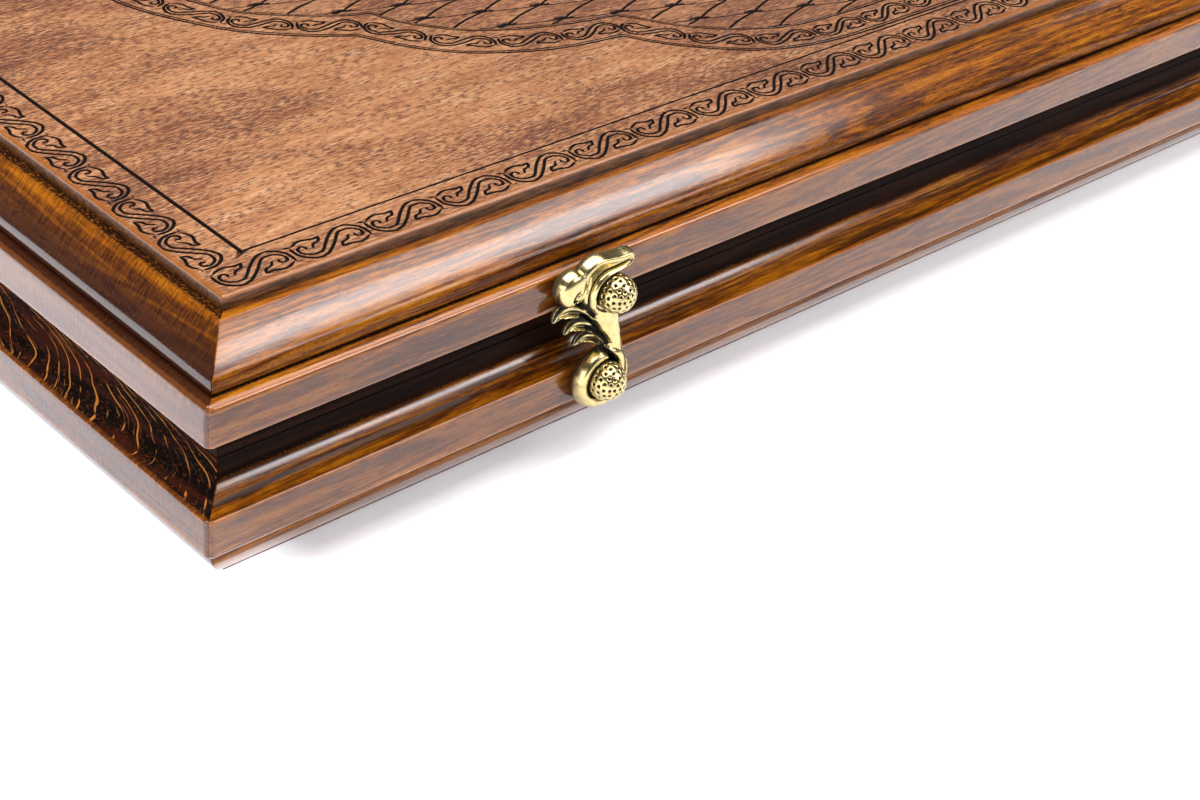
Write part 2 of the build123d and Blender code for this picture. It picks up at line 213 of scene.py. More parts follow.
# ------------------------------------------------------------------ wood of the frame
def moulding(name, axis, shift, short=False):
    """Stained and lacquered moulding, grain along the rail, with painted shade in its hollows."""
    M = Mat(name)
    p = M.obj()
    low = M.noise(stretched(M, p, axis, 0.006, 0.11, shift), 1.0, 2.0, 0.5, 0.4)
    ring = M.remap(M.math("SINE", M.math("MULTIPLY", low, 64.0)), -1.0, 1.0)
    fibre = M.noise(stretched(M, p, axis, 2.3 if short else 0.13, 0.24 if short else 2.3, shift), 1.0, 6.0, 0.70, 0.1)
    fleck = M.noise(stretched(M, p, axis, 2.2 if short else 0.36, 0.42 if short else 2.2, shift), 1.0, 3.0, 0.65, 0.15)
    fleck2 = M.noise(stretched(M, p, axis, 0.16, 1.5, (shift[1], shift[2], shift[0])), 1.0, 2.0, 0.6, 0.15)
    patch = M.noise(stretched(M, p, axis, 0.02, 0.16, shift), 1.0, 3.0, 0.55, 0.3)
    shade_and_joint = M.attr("shade_and_joint")
    rub = M.attr("rub")
    tone = M.math("ADD", M.math("MULTIPLY", fibre, 0.74), M.math("MULTIPLY", ring, 0.12))
    tone = M.math("ADD", tone, M.math("MULTIPLY", M.math("SUBTRACT", patch, 0.5), 0.32))
    tone = M.math("ADD", tone, 0.06)
    col = M.ramp(tone, [
        (0.28, wd(52, 21, 0)),
        (0.41, wd(122, 60, 0)),
        (0.50, wd(176, 97, 0)),
        (0.59, wd(210, 124, 2)),
        (0.76, wd(248, 170, 30)),
    ])
    dark = M.math("ADD", M.remap(fleck, 0.54, 0.64), M.math("MULTIPLY", M.remap(fleck2, 0.52, 0.66), 0.8), clamp=True)
    dark = M.math("MULTIPLY", dark, M.remap(patch, 0.32, 0.66, 1.0, 0.45))
    col = M.mix(M.math("MULTIPLY", dark, 0.68), col, wd(40, 18, 4))
    # painted shade in the hollows, and the dark mitre joints, with an uneven edge
    ragged = M.noise(stretched(M, p, "Y" if axis == "X" else "X", 0.3, 1.6, shift), 1.0, 5.0, 0.7, 0.2)
    c2 = M.math("ADD", shade_and_joint, M.math("MULTIPLY", M.math("SUBTRACT", ragged, 0.5), M.math("MULTIPLY", shade_and_joint, 1.3)))
    hollow = M.remap(c2, 0.25, 0.85)
    col = M.mix(hollow, col, wd(24, 10, 4))
    flat = M.attr("flat")
    # the flat face gets a browner colour; on the short rails the mix is stronger and darker, painted shade on the sides
    col = M.mix(M.math("MULTIPLY", flat, 0.72 if short else 0.45), col, wd(84, 42, 38) if short else wd(92, 52, 38))
    hgt = M.math("ABSOLUTE", M.math("SUBTRACT", M.xyz(p)[2], 35.0))
    if short:
        # painted shade: on the short rails the shoulder and the bead are darker, fading out towards the crown of the
        # bead
        edge = M.math("MULTIPLY", M.math("SUBTRACT", ragged, 0.5), 5.0)
        side_shade = M.remap(M.math("ADD", hgt, edge), 24.5, 32.5, 1.0, 0.0)
        side_shade = M.math("MULTIPLY", side_shade, M.remap(hgt, 17.4, 18.6))
        side_shade = M.math("MULTIPLY", side_shade, M.math("SUBTRACT", 1.0, flat))
        col = M.mix(M.math("MULTIPLY", side_shade, 0.92), col, wd(60, 21, 2))
        # painted shade, speckled: the shoulder next to the panel's edge is darkened
        inner = M.math("SUBTRACT", 300.0, M.math("ABSOLUTE", M.xyz(p)[0]))
        inner = M.remap(M.math("ADD", inner, M.math("MULTIPLY", edge, 0.6)), 9.3, 10.6)
        inner = M.math("MULTIPLY", inner, M.remap(hgt, 28.0, 29.0))
        shoulder_speckle = M.remap(M.noise(stretched(M, p, "Y", 0.9, 1.6, shift), 1.0, 2.0, 0.5), 0.56, 0.64)
        col = M.mix(M.math("MULTIPLY", inner, 0.9), col, M.mix(shoulder_speckle, wd(26, 11, 3), wd(160, 92, 14)))
    # dark streaks in the hollow of the long rails
    if not short:
        streak = M.noise(stretched(M, p, axis, 0.02, 0.55, shift), 1.0, 4.0, 0.6, 0.2)
        sk = M.math("MULTIPLY", M.remap(streak, 0.46, 0.60), M.attr("cove"))
        col = M.mix(M.math("MULTIPLY", sk, 0.8), col, wd(52, 24, 8))
    # colour rubbed through on the crests
    r2 = M.math("ADD", rub, M.math("MULTIPLY", M.math("SUBTRACT", fibre, 0.5), 1.1))
    col = M.mix(M.math("MULTIPLY", M.remap(r2, 0.45, 1.05), 0.25 if short else 0.65), col, wd(214, 124, 44))
    if short:
        # growth lines that run out through the hollow of the short rails
        x, y, z = M.xyz(p)
        h = M.math("ABSOLUTE", M.math("SUBTRACT", z, 35.0))
        hn = M.math("POWER", M.math("DIVIDE", h, 9.2, clamp=True), 0.62)
        wob = M.noise(stretched(M, p, "Y", 0.045, 0.075, shift), 1.0, 2.0, 0.5)
        ph = M.math("ADD", M.math("DIVIDE", M.math("ADD", y, M.math("MULTIPLY", hn, 27.0)), 6.2), M.math("MULTIPLY", wob, 3.2))
        line = M.math("ABSOLUTE", M.math("SUBTRACT", M.math("FRACT", ph), 0.5))
        gate = M.noise(stretched(M, p, "Y", 0.06, 0.22, (31.0, 5.0, 9.0)), 1.0, 2.0, 0.5)
        wid = M.remap(gate, 0.36, 0.54, 0.0, 0.050)
        vein = M.remap(M.math("SUBTRACT", line, wid), -0.014, 0.010, 1.0, 0.0)
        ph2 = M.math("ADD", M.math("DIVIDE", M.math("ADD", y, M.math("MULTIPLY", hn, 33.0)), 2.9), M.math("MULTIPLY", wob, 7.0))
        line2 = M.math("ABSOLUTE", M.math("SUBTRACT", M.math("FRACT", ph2), 0.5))
        gate2 = M.noise(stretched(M, p, "Y", 0.09, 0.30, (3.0, 71.0, 9.0)), 1.0, 2.0, 0.5)
        vein2 = M.remap(M.math("SUBTRACT", line2, M.remap(gate2, 0.55, 0.66, 0.0, 0.06)), -0.03, 0.02, 1.0, 0.0)
        vein = M.math("MULTIPLY", vein, M.remap(gate2, 0.36, 0.46))
        vein = M.math("MAXIMUM", vein, M.math("MULTIPLY", vein2, 0.6))
        sparkle = M.remap(M.noise(stretched(M, p, "Y", 0.8, 2.0, shift), 1.0, 3.0, 0.6), 0.54, 0.66)
        cove = M.mix(M.math("MULTIPLY", sparkle, 0.85), wd(14, 6, 3), wd(128, 60, 14))
        broad = M.remap(M.noise(stretched(M, p, "Y", 0.05, 0.28, (3.0, 50.0, 2.0)), 1.0, 2.0, 0.5), 0.50, 0.66)
        cove = M.mix(M.math("MULTIPLY", broad, 0.85), cove, wd(78, 27, 6))
        cove = M.mix(vein, cove, wd(255, 165, 70))
        # painted reflection: the lid's half of the cove is turned grey-lilac
        upper = M.remap(z, 34.9, 35.1)
        cove = M.mix(M.math("MULTIPLY", upper, 0.92), cove, wd(46, 34, 34))
        only = M.attr("cove")
        col = M.mix(only, col, cove)
        scr = M.noise(stretched(M, p, "X", 0.05, 2.2, (9.0, 1.0, 4.0)), 1.0, 3.0, 0.7, 0.6)
        keep = M.math("SUBTRACT", 0.55, M.math("MULTIPLY", only, 0.55))
        col = M.mix(M.math("MULTIPLY", M.remap(scr, 0.64, 0.70), keep), col, wd(206, 132, 66))
    rough = M.math("ADD", M.math("ADD", M.math("MULTIPLY", fleck, 0.22), 0.42), M.math("MULTIPLY", hollow, 0.3), clamp=True)
    wavy = M.noise(stretched(M, p, axis, 0.035, 0.30, shift), 1.0, 2.0, 0.5)
    hb = M.math("ADD", M.math("MULTIPLY", fibre, 0.30), M.math("MULTIPLY", fleck, 0.15))
    n = M.bump(hb, 0.30, 0.0004)
    nc = M.bump(M.math("ADD", M.math("MULTIPLY", wavy, 0.9), M.math("MULTIPLY", fibre, 0.10)), 0.15, 0.0004)
    lacquer = M.math("SUBTRACT", 1.0, M.math("MULTIPLY", M.remap(shade_and_joint, 0.12, 0.60), 0.97))
    if short:
        low_bead = M.math("MULTIPLY", M.remap(hgt, 20.6, 21.2), M.remap(hgt, 25.4, 26.4, 1.0, 0.0))
        lacquer = M.math("MAXIMUM", lacquer, M.math("MULTIPLY", low_bead, 0.95))
        dull = M.math("MULTIPLY", only, M.math("SUBTRACT", 1.0, M.math("MULTIPLY", upper, 0.7)))
        lacquer = M.math("MULTIPLY", lacquer, M.math("SUBTRACT", 1.0, M.math("MULTIPLY", dull, 0.9)))
    else:
        lip = M.math("MULTIPLY", M.attr("cove"), M.remap(hgt, 5.8, 6.8))
        lacquer = M.math("MULTIPLY", lacquer, M.math("SUBTRACT", 1.0, M.math("MULTIPLY", lip, 0.75)))
    M.set(Base_Color=col, Roughness=rough, Normal=n, Coat_Weight=lacquer, Coat_Roughness=0.13, Coat_IOR=1.42,
          Specular_IOR_Level=0.04, Coat_Normal=nc)
    return M.m


# ------------------------------------------------------------------ wood of the carved panels
def panel_wood(name, shift):
    M = Mat(name)
    p = M.obj()
    x, y, z = M.xyz(p)
    fibre = M.noise(stretched(M, p, "X", 0.13, 1.35, shift), 1.0, 6.0, 0.70, 0.2)
    fleck = M.noise(stretched(M, p, "X", 0.42, 2.1, shift), 1.0, 3.0, 0.62, 0.25)
    patch = M.noise(stretched(M, p, "X", 0.016, 0.045, shift), 1.0, 4.0, 0.6, 0.5)
    mid = M.noise(stretched(M, p, "X", 0.05, 0.26, shift), 1.0, 3.0, 0.6, 0.4)
    tone = M.math("ADD", M.math("MULTIPLY", fibre, 0.90), M.math("MULTIPLY", mid, 0.40))
    tone = M.math("ADD", tone, M.math("MULTIPLY", M.math("SUBTRACT", patch, 0.5), -0.28))
    tone = M.math("SUBTRACT", tone, 0.08)
    col = M.ramp(tone, [
        (0.28, wd(116, 64, 38)),
        (0.42, wd(170, 106, 66)),
        (0.54, wd(214, 148, 98)),
        (0.66, wd(240, 176, 120)),
        (0.82, wd(264, 216, 164)),
    ])
    where = M.math("ADD", M.math("MULTIPLY", patch, 0.85), M.math("MULTIPLY", mid, 0.40))
    f = M.remap(M.math("ADD", fleck, M.math("MULTIPLY", M.math("SUBTRACT", where, 0.62), 0.42)), 0.45, 0.60)
    col = M.mix(M.math("MULTIPLY", f, 0.85), col, wd(98, 54, 44))
    # rim of the panel, where the finish is thin and orange
    dx = M.math("SUBTRACT", HX - PANEL_IN, M.math("ABSOLUTE", x))
    dy = M.math("SUBTRACT", HY - PANEL_IN, M.math("ABSOLUTE", y))
    de = M.math("MINIMUM", dx, dy)
    wob = M.noise(stretched(M, p, "X", 0.12, 0.6, shift), 1.0, 3.0, 0.6)
    de = M.math("ADD", de, M.math("MULTIPLY", M.math("SUBTRACT", wob, 0.5), 1.6))
    rim = M.remap(de, 0.6, 1.9, 1.0, 0.0)
    col = M.mix(M.math("MULTIPLY", rim, 0.80), col, wd(188, 110, 32))
    lat = M.attr("field")
    col = M.mix(M.math("MULTIPLY", lat, 0.15), col, wd(160, 108, 84))
    # burnt walls of the carving, deepest nearly black
    burn = M.attr("burn")
    soot = M.noise(p, 3.0, 3.0, 0.6)
    b = M.math("ADD", burn, M.math("MULTIPLY", M.math("SUBTRACT", soot, 0.5), M.math("MULTIPLY", burn, 0.9)))
    scorch = M.remap(b, 0.0, 0.09)
    col = M.mix(M.math("MULTIPLY", scorch, 0.85), col, wd(92, 46, 24))
    col = M.mix(M.remap(b, 0.05, 0.27), col, wd(14, 9, 7))
    side = M.attr("side")
    col = M.mix(side, col, M.mix(M.remap(fibre, 0.40, 0.62), wd(66, 34, 10), wd(150, 92, 40)))
    rough = M.math("ADD", M.math("MULTIPLY", fleck, 0.24), 0.36)
    rough = M.math("SUBTRACT", rough, M.math("MULTIPLY", rim, 0.14))
    hb = M.math("ADD", M.math("MULTIPLY", fibre, 0.6), M.math("MULTIPLY", fleck, 0.5))
    n = M.bump(hb, 0.30, 0.0003)
    nc = M.bump(hb, 0.14, 0.0003)
    lacquer = M.math("SUBTRACT", 0.5, M.math("MULTIPLY", M.remap(b, 0.0, 0.12), 0.5))
    lacquer = M.math("ADD", lacquer, M.math("MULTIPLY", rim, 0.12), clamp=True)
    lacquer = M.math("MULTIPLY", lacquer, M.math("SUBTRACT", 1.0, M.math("MULTIPLY", side, 0.8)))
    rough = M.math("ADD", rough, M.math("MULTIPLY", M.remap(b, 0.01, 0.16), 0.5), clamp=True)
    M.set(Base_Color=col, Roughness=rough, Normal=n, Coat_Weight=lacquer, Coat_Roughness=0.20, Coat_IOR=1.5,
          Specular_IOR_Level=0.15, Coat_Normal=nc)
    return M.m


# ------------------------------------------------------------------ simple woods of the inside
def inner_wood(name, axis, cols, shift, coat=0.5, flecks=0.5, scale=1.0, rough0=0.32):
    M = Mat(name)
    p = M.obj()
    low = M.noise(stretched(M, p, axis, 0.006 * scale, 0.06 * scale, shift), 1.0, 2.0, 0.5, 0.5)
    ring = M.remap(M.math("SINE", M.math("MULTIPLY", low, 60.0)), -1.0, 1.0)
    fibre = M.noise(stretched(M, p, axis, 0.06 * scale, 1.2 * scale, shift), 1.0, 6.0, 0.66, 0.2)
    fleck = M.noise(stretched(M, p, axis, 0.3 * scale, 1.8 * scale, shift), 1.0, 2.0, 0.6)
    tone = M.math("ADD", M.math("MULTIPLY", fibre, 0.68), M.math("MULTIPLY", ring, 0.30))
    col = M.ramp(tone, [(0.25, wd(*cols[0])), (0.5, wd(*cols[1])), (0.75, wd(*cols[2]))])
    col = M.mix(M.math("MULTIPLY", M.remap(fleck, 0.54, 0.68), flecks), col, wd(*cols[0]))
    rough = M.math("ADD", M.math("MULTIPLY", fibre, 0.2), rough0 - 0.1)
    n = M.bump(M.math("ADD", fibre, M.math("MULTIPLY", fleck, 0.5)), 0.15, 0.0003)
    M.set(Base_Color=col, Roughness=rough, Normal=n, Coat_Weight=coat, Coat_Roughness=0.12, Coat_IOR=1.5)
    return M.m


# ------------------------------------------------------------------ metals
def brass(name, patina=True, light=(188, 171, 120), dark=(28, 21, 12), rough=0.22):
    M = Mat(name)
    p = M.obj()
    cloud = M.noise(p, 0.35, 4.0, 0.6, 0.4)
    grit = M.noise(p, 3.2, 4.0, 0.65)
    col = M.ramp(cloud, [(0.3, lin(*[int(v * 0.86) for v in light])), (0.55, lin(*light)), (0.8, lin(*[min(255, int(v * 1.06)) for v in light]))])
    if patina:
        pat = M.attr("pat")
        q = M.math("ADD", pat, M.math("MULTIPLY", M.math("SUBTRACT", grit, 0.5), 0.35))
        q = M.remap(q, 0.30, 0.72)
        col = M.mix(q, col, lin(*dark))
        r = M.math("ADD", M.math("MULTIPLY", q, 0.38), M.math("ADD", M.math("MULTIPLY", grit, 0.10), rough - 0.05))
        M.set(Metallic=M.math("SUBTRACT", 1.0, M.math("MULTIPLY", q, 0.35)))
    else:
        q = M.remap(grit, 0.60, 0.75)
        col = M.mix(M.math("MULTIPLY", q, 0.35), col, lin(*dark))
        r = M.math("ADD", M.math("MULTIPLY", grit, 0.16), rough)
        M.set(Metallic=1.0)
    n = M.bump(M.math("ADD", M.math("MULTIPLY", grit, 0.3), cloud), 0.10, 0.0003)
    M.set(Base_Color=col, Roughness=r, Normal=n)
    return M.m


def die_mat():
    M = Mat("die_ivory")
    p = M.obj()
    n1 = M.noise(p, 0.25, 3.0, 0.6)
    col = M.ramp(n1, [(0.3, lin(232, 224, 206)), (0.7, lin(246, 242, 230))])
    M.set(Base_Color=col, Roughness=M.math("ADD", M.math("MULTIPLY", n1, 0.12), 0.16), Subsurface_Weight=0.15,
          Normal=M.bump(n1, 0.05, 0.0003))
    return M.m


def pip_mat():
    M = Mat("die_pip")
    p = M.obj()
    n1 = M.noise(p, 2.0, 3.0, 0.6)
    col = M.ramp(n1, [(0.3, lin(16, 15, 15)), (0.7, lin(34, 32, 31))])
    M.set(Base_Color=col, Roughness=M.math("ADD", M.math("MULTIPLY", n1, 0.2), 0.3), Normal=M.bump(n1, 0.1, 0.0002))
    return M.m


# ------------------------------------------------------------------ mesh helper
def solid(name, verts, faces, body, mats, attrs=None, sharp=32.0, replaces=(), face_mat=None):
    me = bpy.data.meshes.new(name)
    v = np.asarray(verts, float) * MM
    me.from_pydata(v.tolist(), [], faces)
    me.validate()
    me.update()
    for k, vals in (attrs or {}).items():
        a = me.attributes.new(k, "FLOAT", "POINT")
        a.data.foreach_set("value", np.asarray(vals, np.float32))
    for m in mats:
        me.materials.append(m)
    if face_mat is not None:
        me.polygons.foreach_set("material_index", np.asarray(face_mat, np.int32))
    me.shade_smooth()
    if sharp:
        me.set_sharp_from_angle(angle=math.radians(sharp))
    ob = bpy.data.objects.new(name, me)
    scene.collection.objects.link(ob)
    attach(ob, body)
    if replaces:
        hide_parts(*replaces)
    return ob


def outward(verts, faces):
    """Turns all faces round if the closed mesh is inside out."""
    v = np.asarray(verts, float)
    vol = 0.0
    for f in faces:
        a = v[f[0]]
        for i in range(1, len(f) - 1):
            vol += np.dot(a, np.cross(v[f[i]], v[f[i + 1]]))
    return faces if vol > 0 else [tuple(reversed(f)) for f in faces]


# ------------------------------------------------------------------ the moulding's section
C_D, C_H, FACE_TOP = 7.6, 9.15, 17.9
SECTION = [
    ("lin", (C_D, SEAM)),
    ("arc", (C_D * 0.7071, C_H * 0.7071), (0.5, C_H - 0.02)),
    ("arc", (0.14, C_H + 0.16), (0.0, C_H + 0.5)),
    ("lin", (0.0, FACE_TOP)),
    ("arc", (0.42, FACE_TOP + 0.98), (1.4, FACE_TOP + 1.4)),
    ("lin", (3.2, 19.6)),
    ("arc", (2.85, 21.6), (3.75, 23.9)),
    ("arc", (6.5, 28.05), (9.8, SHOULDER_H)),
    ("lin", (PANEL_IN, SHOULDER_H)),
    ("lin", (PANEL_IN, REBATE_H)),
    ("lin", (WALL, REBATE_H)),
    ("lin", (WALL, SEAM + 0.8)),
    ("arc", (WALL - 0.234, SEAM + 0.234), (WALL - 0.8, SEAM)),
]


def arc_points(a, m, b, step):
    ax, ay = a
    mx, my = m
    bx, by = b
    d = 2 * (ax * (my - by) + mx * (by - ay) + bx * (ay - my))
    ux = ((ax**2 + ay**2) * (my - by) + (mx**2 + my**2) * (by - ay) + (bx**2 + by**2) * (ay - my)) / d
    uy = ((ax**2 + ay**2) * (bx - mx) + (mx**2 + my**2) * (ax - bx) + (bx**2 + by**2) * (mx - ax)) / d
    r = math.hypot(ax - ux, ay - uy)
    t0, tm, t1 = (math.atan2(y - uy, x - ux) for x, y in (a, m, b))

    def ahead(t, base, sign):
        while sign * (t - base) < 0:
            t += sign * 2 * math.pi
        while sign * (t - base) > 2 * math.pi:
            t -= sign * 2 * math.pi
        return t

    sign = 1 if ahead(tm, t0, 1) < ahead(t1, t0, 1) else -1
    t1 = ahead(t1, t0, sign)
    n = max(3, int(abs(t1 - t0) * r / step))
    return [(ux + r * math.cos(t0 + (t1 - t0) * i / n), uy + r * math.sin(t0 + (t1 - t0) * i / n)) for i in range(1, n + 1)]


def section_points():
    cur = (WALL - 0.8, SEAM)
    pts = [cur]
    for seg in SECTION:
        if seg[0] == "lin":
            b = seg[1]
            n = max(1, int(math.dist(cur, b) / 0.9))
            if cur == (1.4, FACE_TOP + 1.4) or b == (C_D, SEAM):
                n = max(n, 4)
            pts += [(cur[0] + (b[0] - cur[0]) * i / n, cur[1] + (b[1] - cur[1]) * i / n) for i in range(1, n + 1)]
            cur = b
        else:
            pts += arc_points(cur, seg[1], seg[2], 0.34)
            cur = seg[2]
    return pts[:-1]


SEC = section_points()
SEC_N = len(SEC)


def ramp01(v, a, b):
    t = min(1.0, max(0.0, (v - a) / (b - a)))
    return t * t * (3 - 2 * t)


def section_tone(d, h):
    """Painted shade in the hollows, wear on the crests, and whether the point is in the cove."""
    shade_and_joint = rub = cove = 0.0
    # painted shade: darkest deep in the cove, next to the seam
    if h < 9.0 and d < 12.0:
        cove = ramp01(d, 0.5, 0.8)
        shade_and_joint = 0.10 + 0.90 * ramp01(d, 5.7, 7.2)
    near = math.hypot(d - 3.1, h - 19.75)
    # painted shade in the crevice between the bead and the flat face, and along the panel's edge
    shade_and_joint = max(shade_and_joint, 0.85 * (1.0 - ramp01(near, 0.15, 1.1)))
    shade_and_joint = max(shade_and_joint, 0.8 - 0.8 * ramp01(math.hypot(d - PANEL_IN, h - SHOULDER_H), 0.2, 1.3))
    # painted shade on the lower part of the bead
    if 19.7 < h < 26.0 and 2.5 < d < 6.0:
        shade_and_joint = max(shade_and_joint, 0.46 * (1.0 - ramp01(h, 23.2, 25.6)))
    if d > 12.1:
        shade_and_joint = 0.15
    if 17.6 < h < 19.6 and d < 2.2:
        rub = 1.0 - ramp01(math.hypot(d - 0.45, h - 18.9), 0.3, 1.2)
    if d < 0.8 and 8.6 < h < 10.4:
        rub = max(rub, 0.8 * (1.0 - ramp01(abs(h - 9.4), 0.2, 0.9)))
    if 8.6 < d < 10.8 and h > 30.0:
        rub = max(rub, 0.55 * (1.0 - ramp01(abs(d - 9.7), 0.2, 0.9)))
    face = ramp01(h, 9.4, 9.9) * (1.0 - ramp01(h, 17.4, 18.0)) if d < 0.3 else 0.0
    return shade_and_joint, rub, cove, face


def inward(i):
    ax, ay = SEC[i - 1]
    bx, by = SEC[(i + 1) % SEC_N]
    tx, ty = bx - ax, by - ay
    ln = math.hypot(tx, ty) or 1.0
    return -ty / ln, tx / ln


AREA = sum(SEC[i][0] * SEC[(i + 1) % SEC_N][1] - SEC[(i + 1) % SEC_N][0] * SEC[i][1] for i in range(SEC_N))
IN_SIGN = 1.0 if AREA > 0 else -1.0
PHI = [45.0, 36.0, 27.0, 18.0, 9.0, 0.0]


def corner_radius(d):
    if d > 11.0:
        return 0.0
    return max(1.8 - d, 0.42)


def rail(side, which, mat):
    length = 2 * HX if which in ("front", "back") else 2 * HY
    tones = [section_tone(d, h) for d, h in SEC]
    rows = []

    def station(points):
        rows.append(points)

    def half(end):
        out = []
        ring = []
        for i, (d, h) in enumerate(SEC):
            nx, ny = inward(i)
            k = 0.10 * IN_SIGN
            dd, hh = d + nx * k, h + ny * k
            rc = corner_radius(dd)
            t = dd + rc * (1 - math.cos(math.radians(45)))
            ring.append((t, t, hh))
        out.append(ring)
        for ph in PHI:
            a = math.radians(ph)
            ring = []
            for d, h in SEC:
                rc = corner_radius(d)
                s = d + rc * (1 - math.sin(a))
                t = d + rc * (1 - math.cos(a))
                if ph == 45.0:
                    s += 0.09
                if rc == 0.0:
                    s += 0.012 * (45.0 - ph)
                ring.append((s, t, h))
            out.append(ring)
        return out

    a = half(0)
    for ring in a:
        station([(s, t, h) for s, t, h in ring])
    n = 26 if length > 400 else 14
    first, last = a[-1], [(length - s, t, h) for s, t, h in a[-1]]
    for k in range(1, n):
        f = k / n
        station([(p[0] + (q[0] - p[0]) * f, p[1], p[2]) for p, q in zip(first, last)])
    for ring in reversed(a):
        station([(length - s, t, h) for s, t, h in ring])
    sg = 1.0 if side == "lid" else -1.0
    verts = []
    for ring in rows:
        for s, t, h in ring:
            z = HALF + sg * h
            if which == "front":
                verts.append((-HX + s, -HY + t, z))
            elif which == "back":
                verts.append((-HX + s, HY - t, z))
            elif which == "left":
                verts.append((-HX + t, -HY + s, z))
            else:
                verts.append((HX - t, -HY + s, z))
    faces = []
    for r in range(len(rows) - 1):
        b0, b1 = r * SEC_N, (r + 1) * SEC_N
        for i in range(SEC_N):
            j = (i + 1) % SEC_N
            faces.append((b0 + i, b0 + j, b1 + j, b1 + i))
    faces.append(tuple(reversed(range(SEC_N))))
    e = (len(rows) - 1) * SEC_N
    faces.append(tuple(e + i for i in range(SEC_N)))
    faces = outward(verts, faces)
    shade_and_joint = [tones[i][0] for _ in rows for i in range(SEC_N)]
    rub = [tones[i][1] for _ in rows for i in range(SEC_N)]
    cov = [tones[i][2] for _ in rows for i in range(SEC_N)]
    flat = [tones[i][3] for _ in rows for i in range(SEC_N)]
    # crests at the mitre are rubbed too
    last_row = len(rows) - 1
    for r in (0, 1, 2, last_row - 2, last_row - 1, last_row):
        for i in range(SEC_N):
            d, h = SEC[i]
            if 19.8 < h < 31.0 and d < 10:
                rub[r * SEC_N + i] = max(rub[r * SEC_N + i], 0.55 if r not in (0, last_row) else 0.0)
    # dark mitre joints at both ends
    for r in (0, last_row):
        for i in range(SEC_N):
            shade_and_joint[r * SEC_N + i] = max(shade_and_joint[r * SEC_N + i], 0.8)
    name = side + "_" + which + "_rail"
    ob = solid(name + "_body", verts, faces, side, [mat], {"shade_and_joint": shade_and_joint, "rub": rub, "cove": cov, "flat": flat},
               sharp=30, replaces=(name,))
    if which == "back":
        pocket_cut(ob, side)
    return ob


def pocket_cut(ob, side):
    """Mortises for the hinge leaves."""
    sg = 1.0 if side == "lid" else -1.0
    cutters = []
    for xc in (-HINGE_X, HINGE_X):
        z0, z1 = HALF - sg * 2.0, HALF + sg * (SEAM + LEAF_T)
        x0, x1 = xc - HINGE_LEN / 2 - 0.06, xc + HINGE_LEN / 2 + 0.06
        y0, y1 = HY - LEAF_IN - 0.06, HY + 3.0
        v = [(x, y, z) for x in (x0, x1) for y in (y0, y1) for z in (min(z0, z1), max(z0, z1))]
        f = [(0, 1, 3, 2), (4, 6, 7, 5), (0, 4, 5, 1), (2, 3, 7, 6), (0, 2, 6, 4), (1, 5, 7, 3)]
        me = bpy.data.meshes.new("pocket")
        me.from_pydata([(a * MM, b * MM, c * MM) for a, b, c in v], [], outward(v, f))
        me.update()
        c = bpy.data.objects.new("pocket", me)
        scene.collection.objects.link(c)
        cutters.append(c)
        mod = ob.modifiers.new("pocket", "BOOLEAN")
        mod.operation = "DIFFERENCE"
        mod.solver = "EXACT"
        mod.object = c
    dg = bpy.context.evaluated_depsgraph_get()
    done = bpy.data.meshes.new_from_object(ob.evaluated_get(dg), depsgraph=dg)
    ob.modifiers.clear()
    ob.data = done
    done.set_sharp_from_angle(angle=math.radians(30))
    for c in cutters:
        bpy.data.objects.remove(c)


for k, side in enumerate(("base", "lid")):
    for j, which in enumerate(("front", "back", "left", "right")):
        long = which in ("front", "back")
        sh = (137.0 * k + 61.0 * j, 311.0 * j + 17.0 * k, 23.0 * k + 7.0 * j)
        rail(side, which, moulding("moulding_" + side + "_" + which, "X" if long else "Y", sh, short=not long))


# ------------------------------------------------------------------ carved panels
def smooth_curve(pts, step=0.55):
    """Catmull-Rom through the points, about one point each step mm."""
    p = [np.array(q, float) for q in pts]
    if len(p) == 2:
        n = max(1, int(np.linalg.norm(p[1] - p[0]) / step))
        return [tuple(p[0] + (p[1] - p[0]) * i / n) for i in range(n + 1)]
    ext = [2 * p[0] - p[1]] + p + [2 * p[-1] - p[-2]]
    out = []
    for i in range(1, len(ext) - 2):
        a, b, c, d = ext[i - 1:i + 3]
        n = max(1, int(round(np.linalg.norm(c - b) / step)))
        for k in range(n):
            t = k / n
            q = 0.5 * ((2 * b) + (-a + c) * t + (2 * a - 5 * b + 4 * c - d) * t * t + (-a + 3 * b - 3 * c + d) * t**3)
            out.append(tuple(q))
    out.append(tuple(p[-1]))
    return out


S1 = [(-9.1, 2.13), (-9.18, 0.97), (-9.1, -0.7), (-8.6, -1.87), (-7.77, -2.87), (-6.6, -3.7), (-5.27, -4.12), (-4.1, -3.87),
      (-2.93, -3.45), (-1.93, -2.78), (-0.77, -1.87), (0.57, -0.7), (1.9, 0.63), (2.9, 1.63), (3.9, 2.3), (5.07, 2.38),
      (6.23, 2.3), (7.23, 1.63), (7.9, 0.8), (8.15, -0.2), (7.73, -1.37), (7.23, -1.62)]
L_TOP = [(-8.43, 2.47), (-7.43, 3.05), (-6.43, 3.47), (-5.27, 3.63), (-4.1, 3.3), (-2.77, 2.88), (-1.77, 2.97), (-0.93, 3.13)]
L_LOW = [(-0.93, 3.13), (-1.6, 2.13), (-2.18, 1.47), (-3.1, 1.38), (-3.85, 1.05), (-4.18, 0.55), (-4.52, -0.03), (-5.02, -0.2)]
L_CURL = [(-5.93, -0.2), (-6.3, 0.13), (-5.85, 0.72), (-6.18, 1.3), (-7.02, 1.55), (-7.6, 1.13), (-7.77, 0.3)]
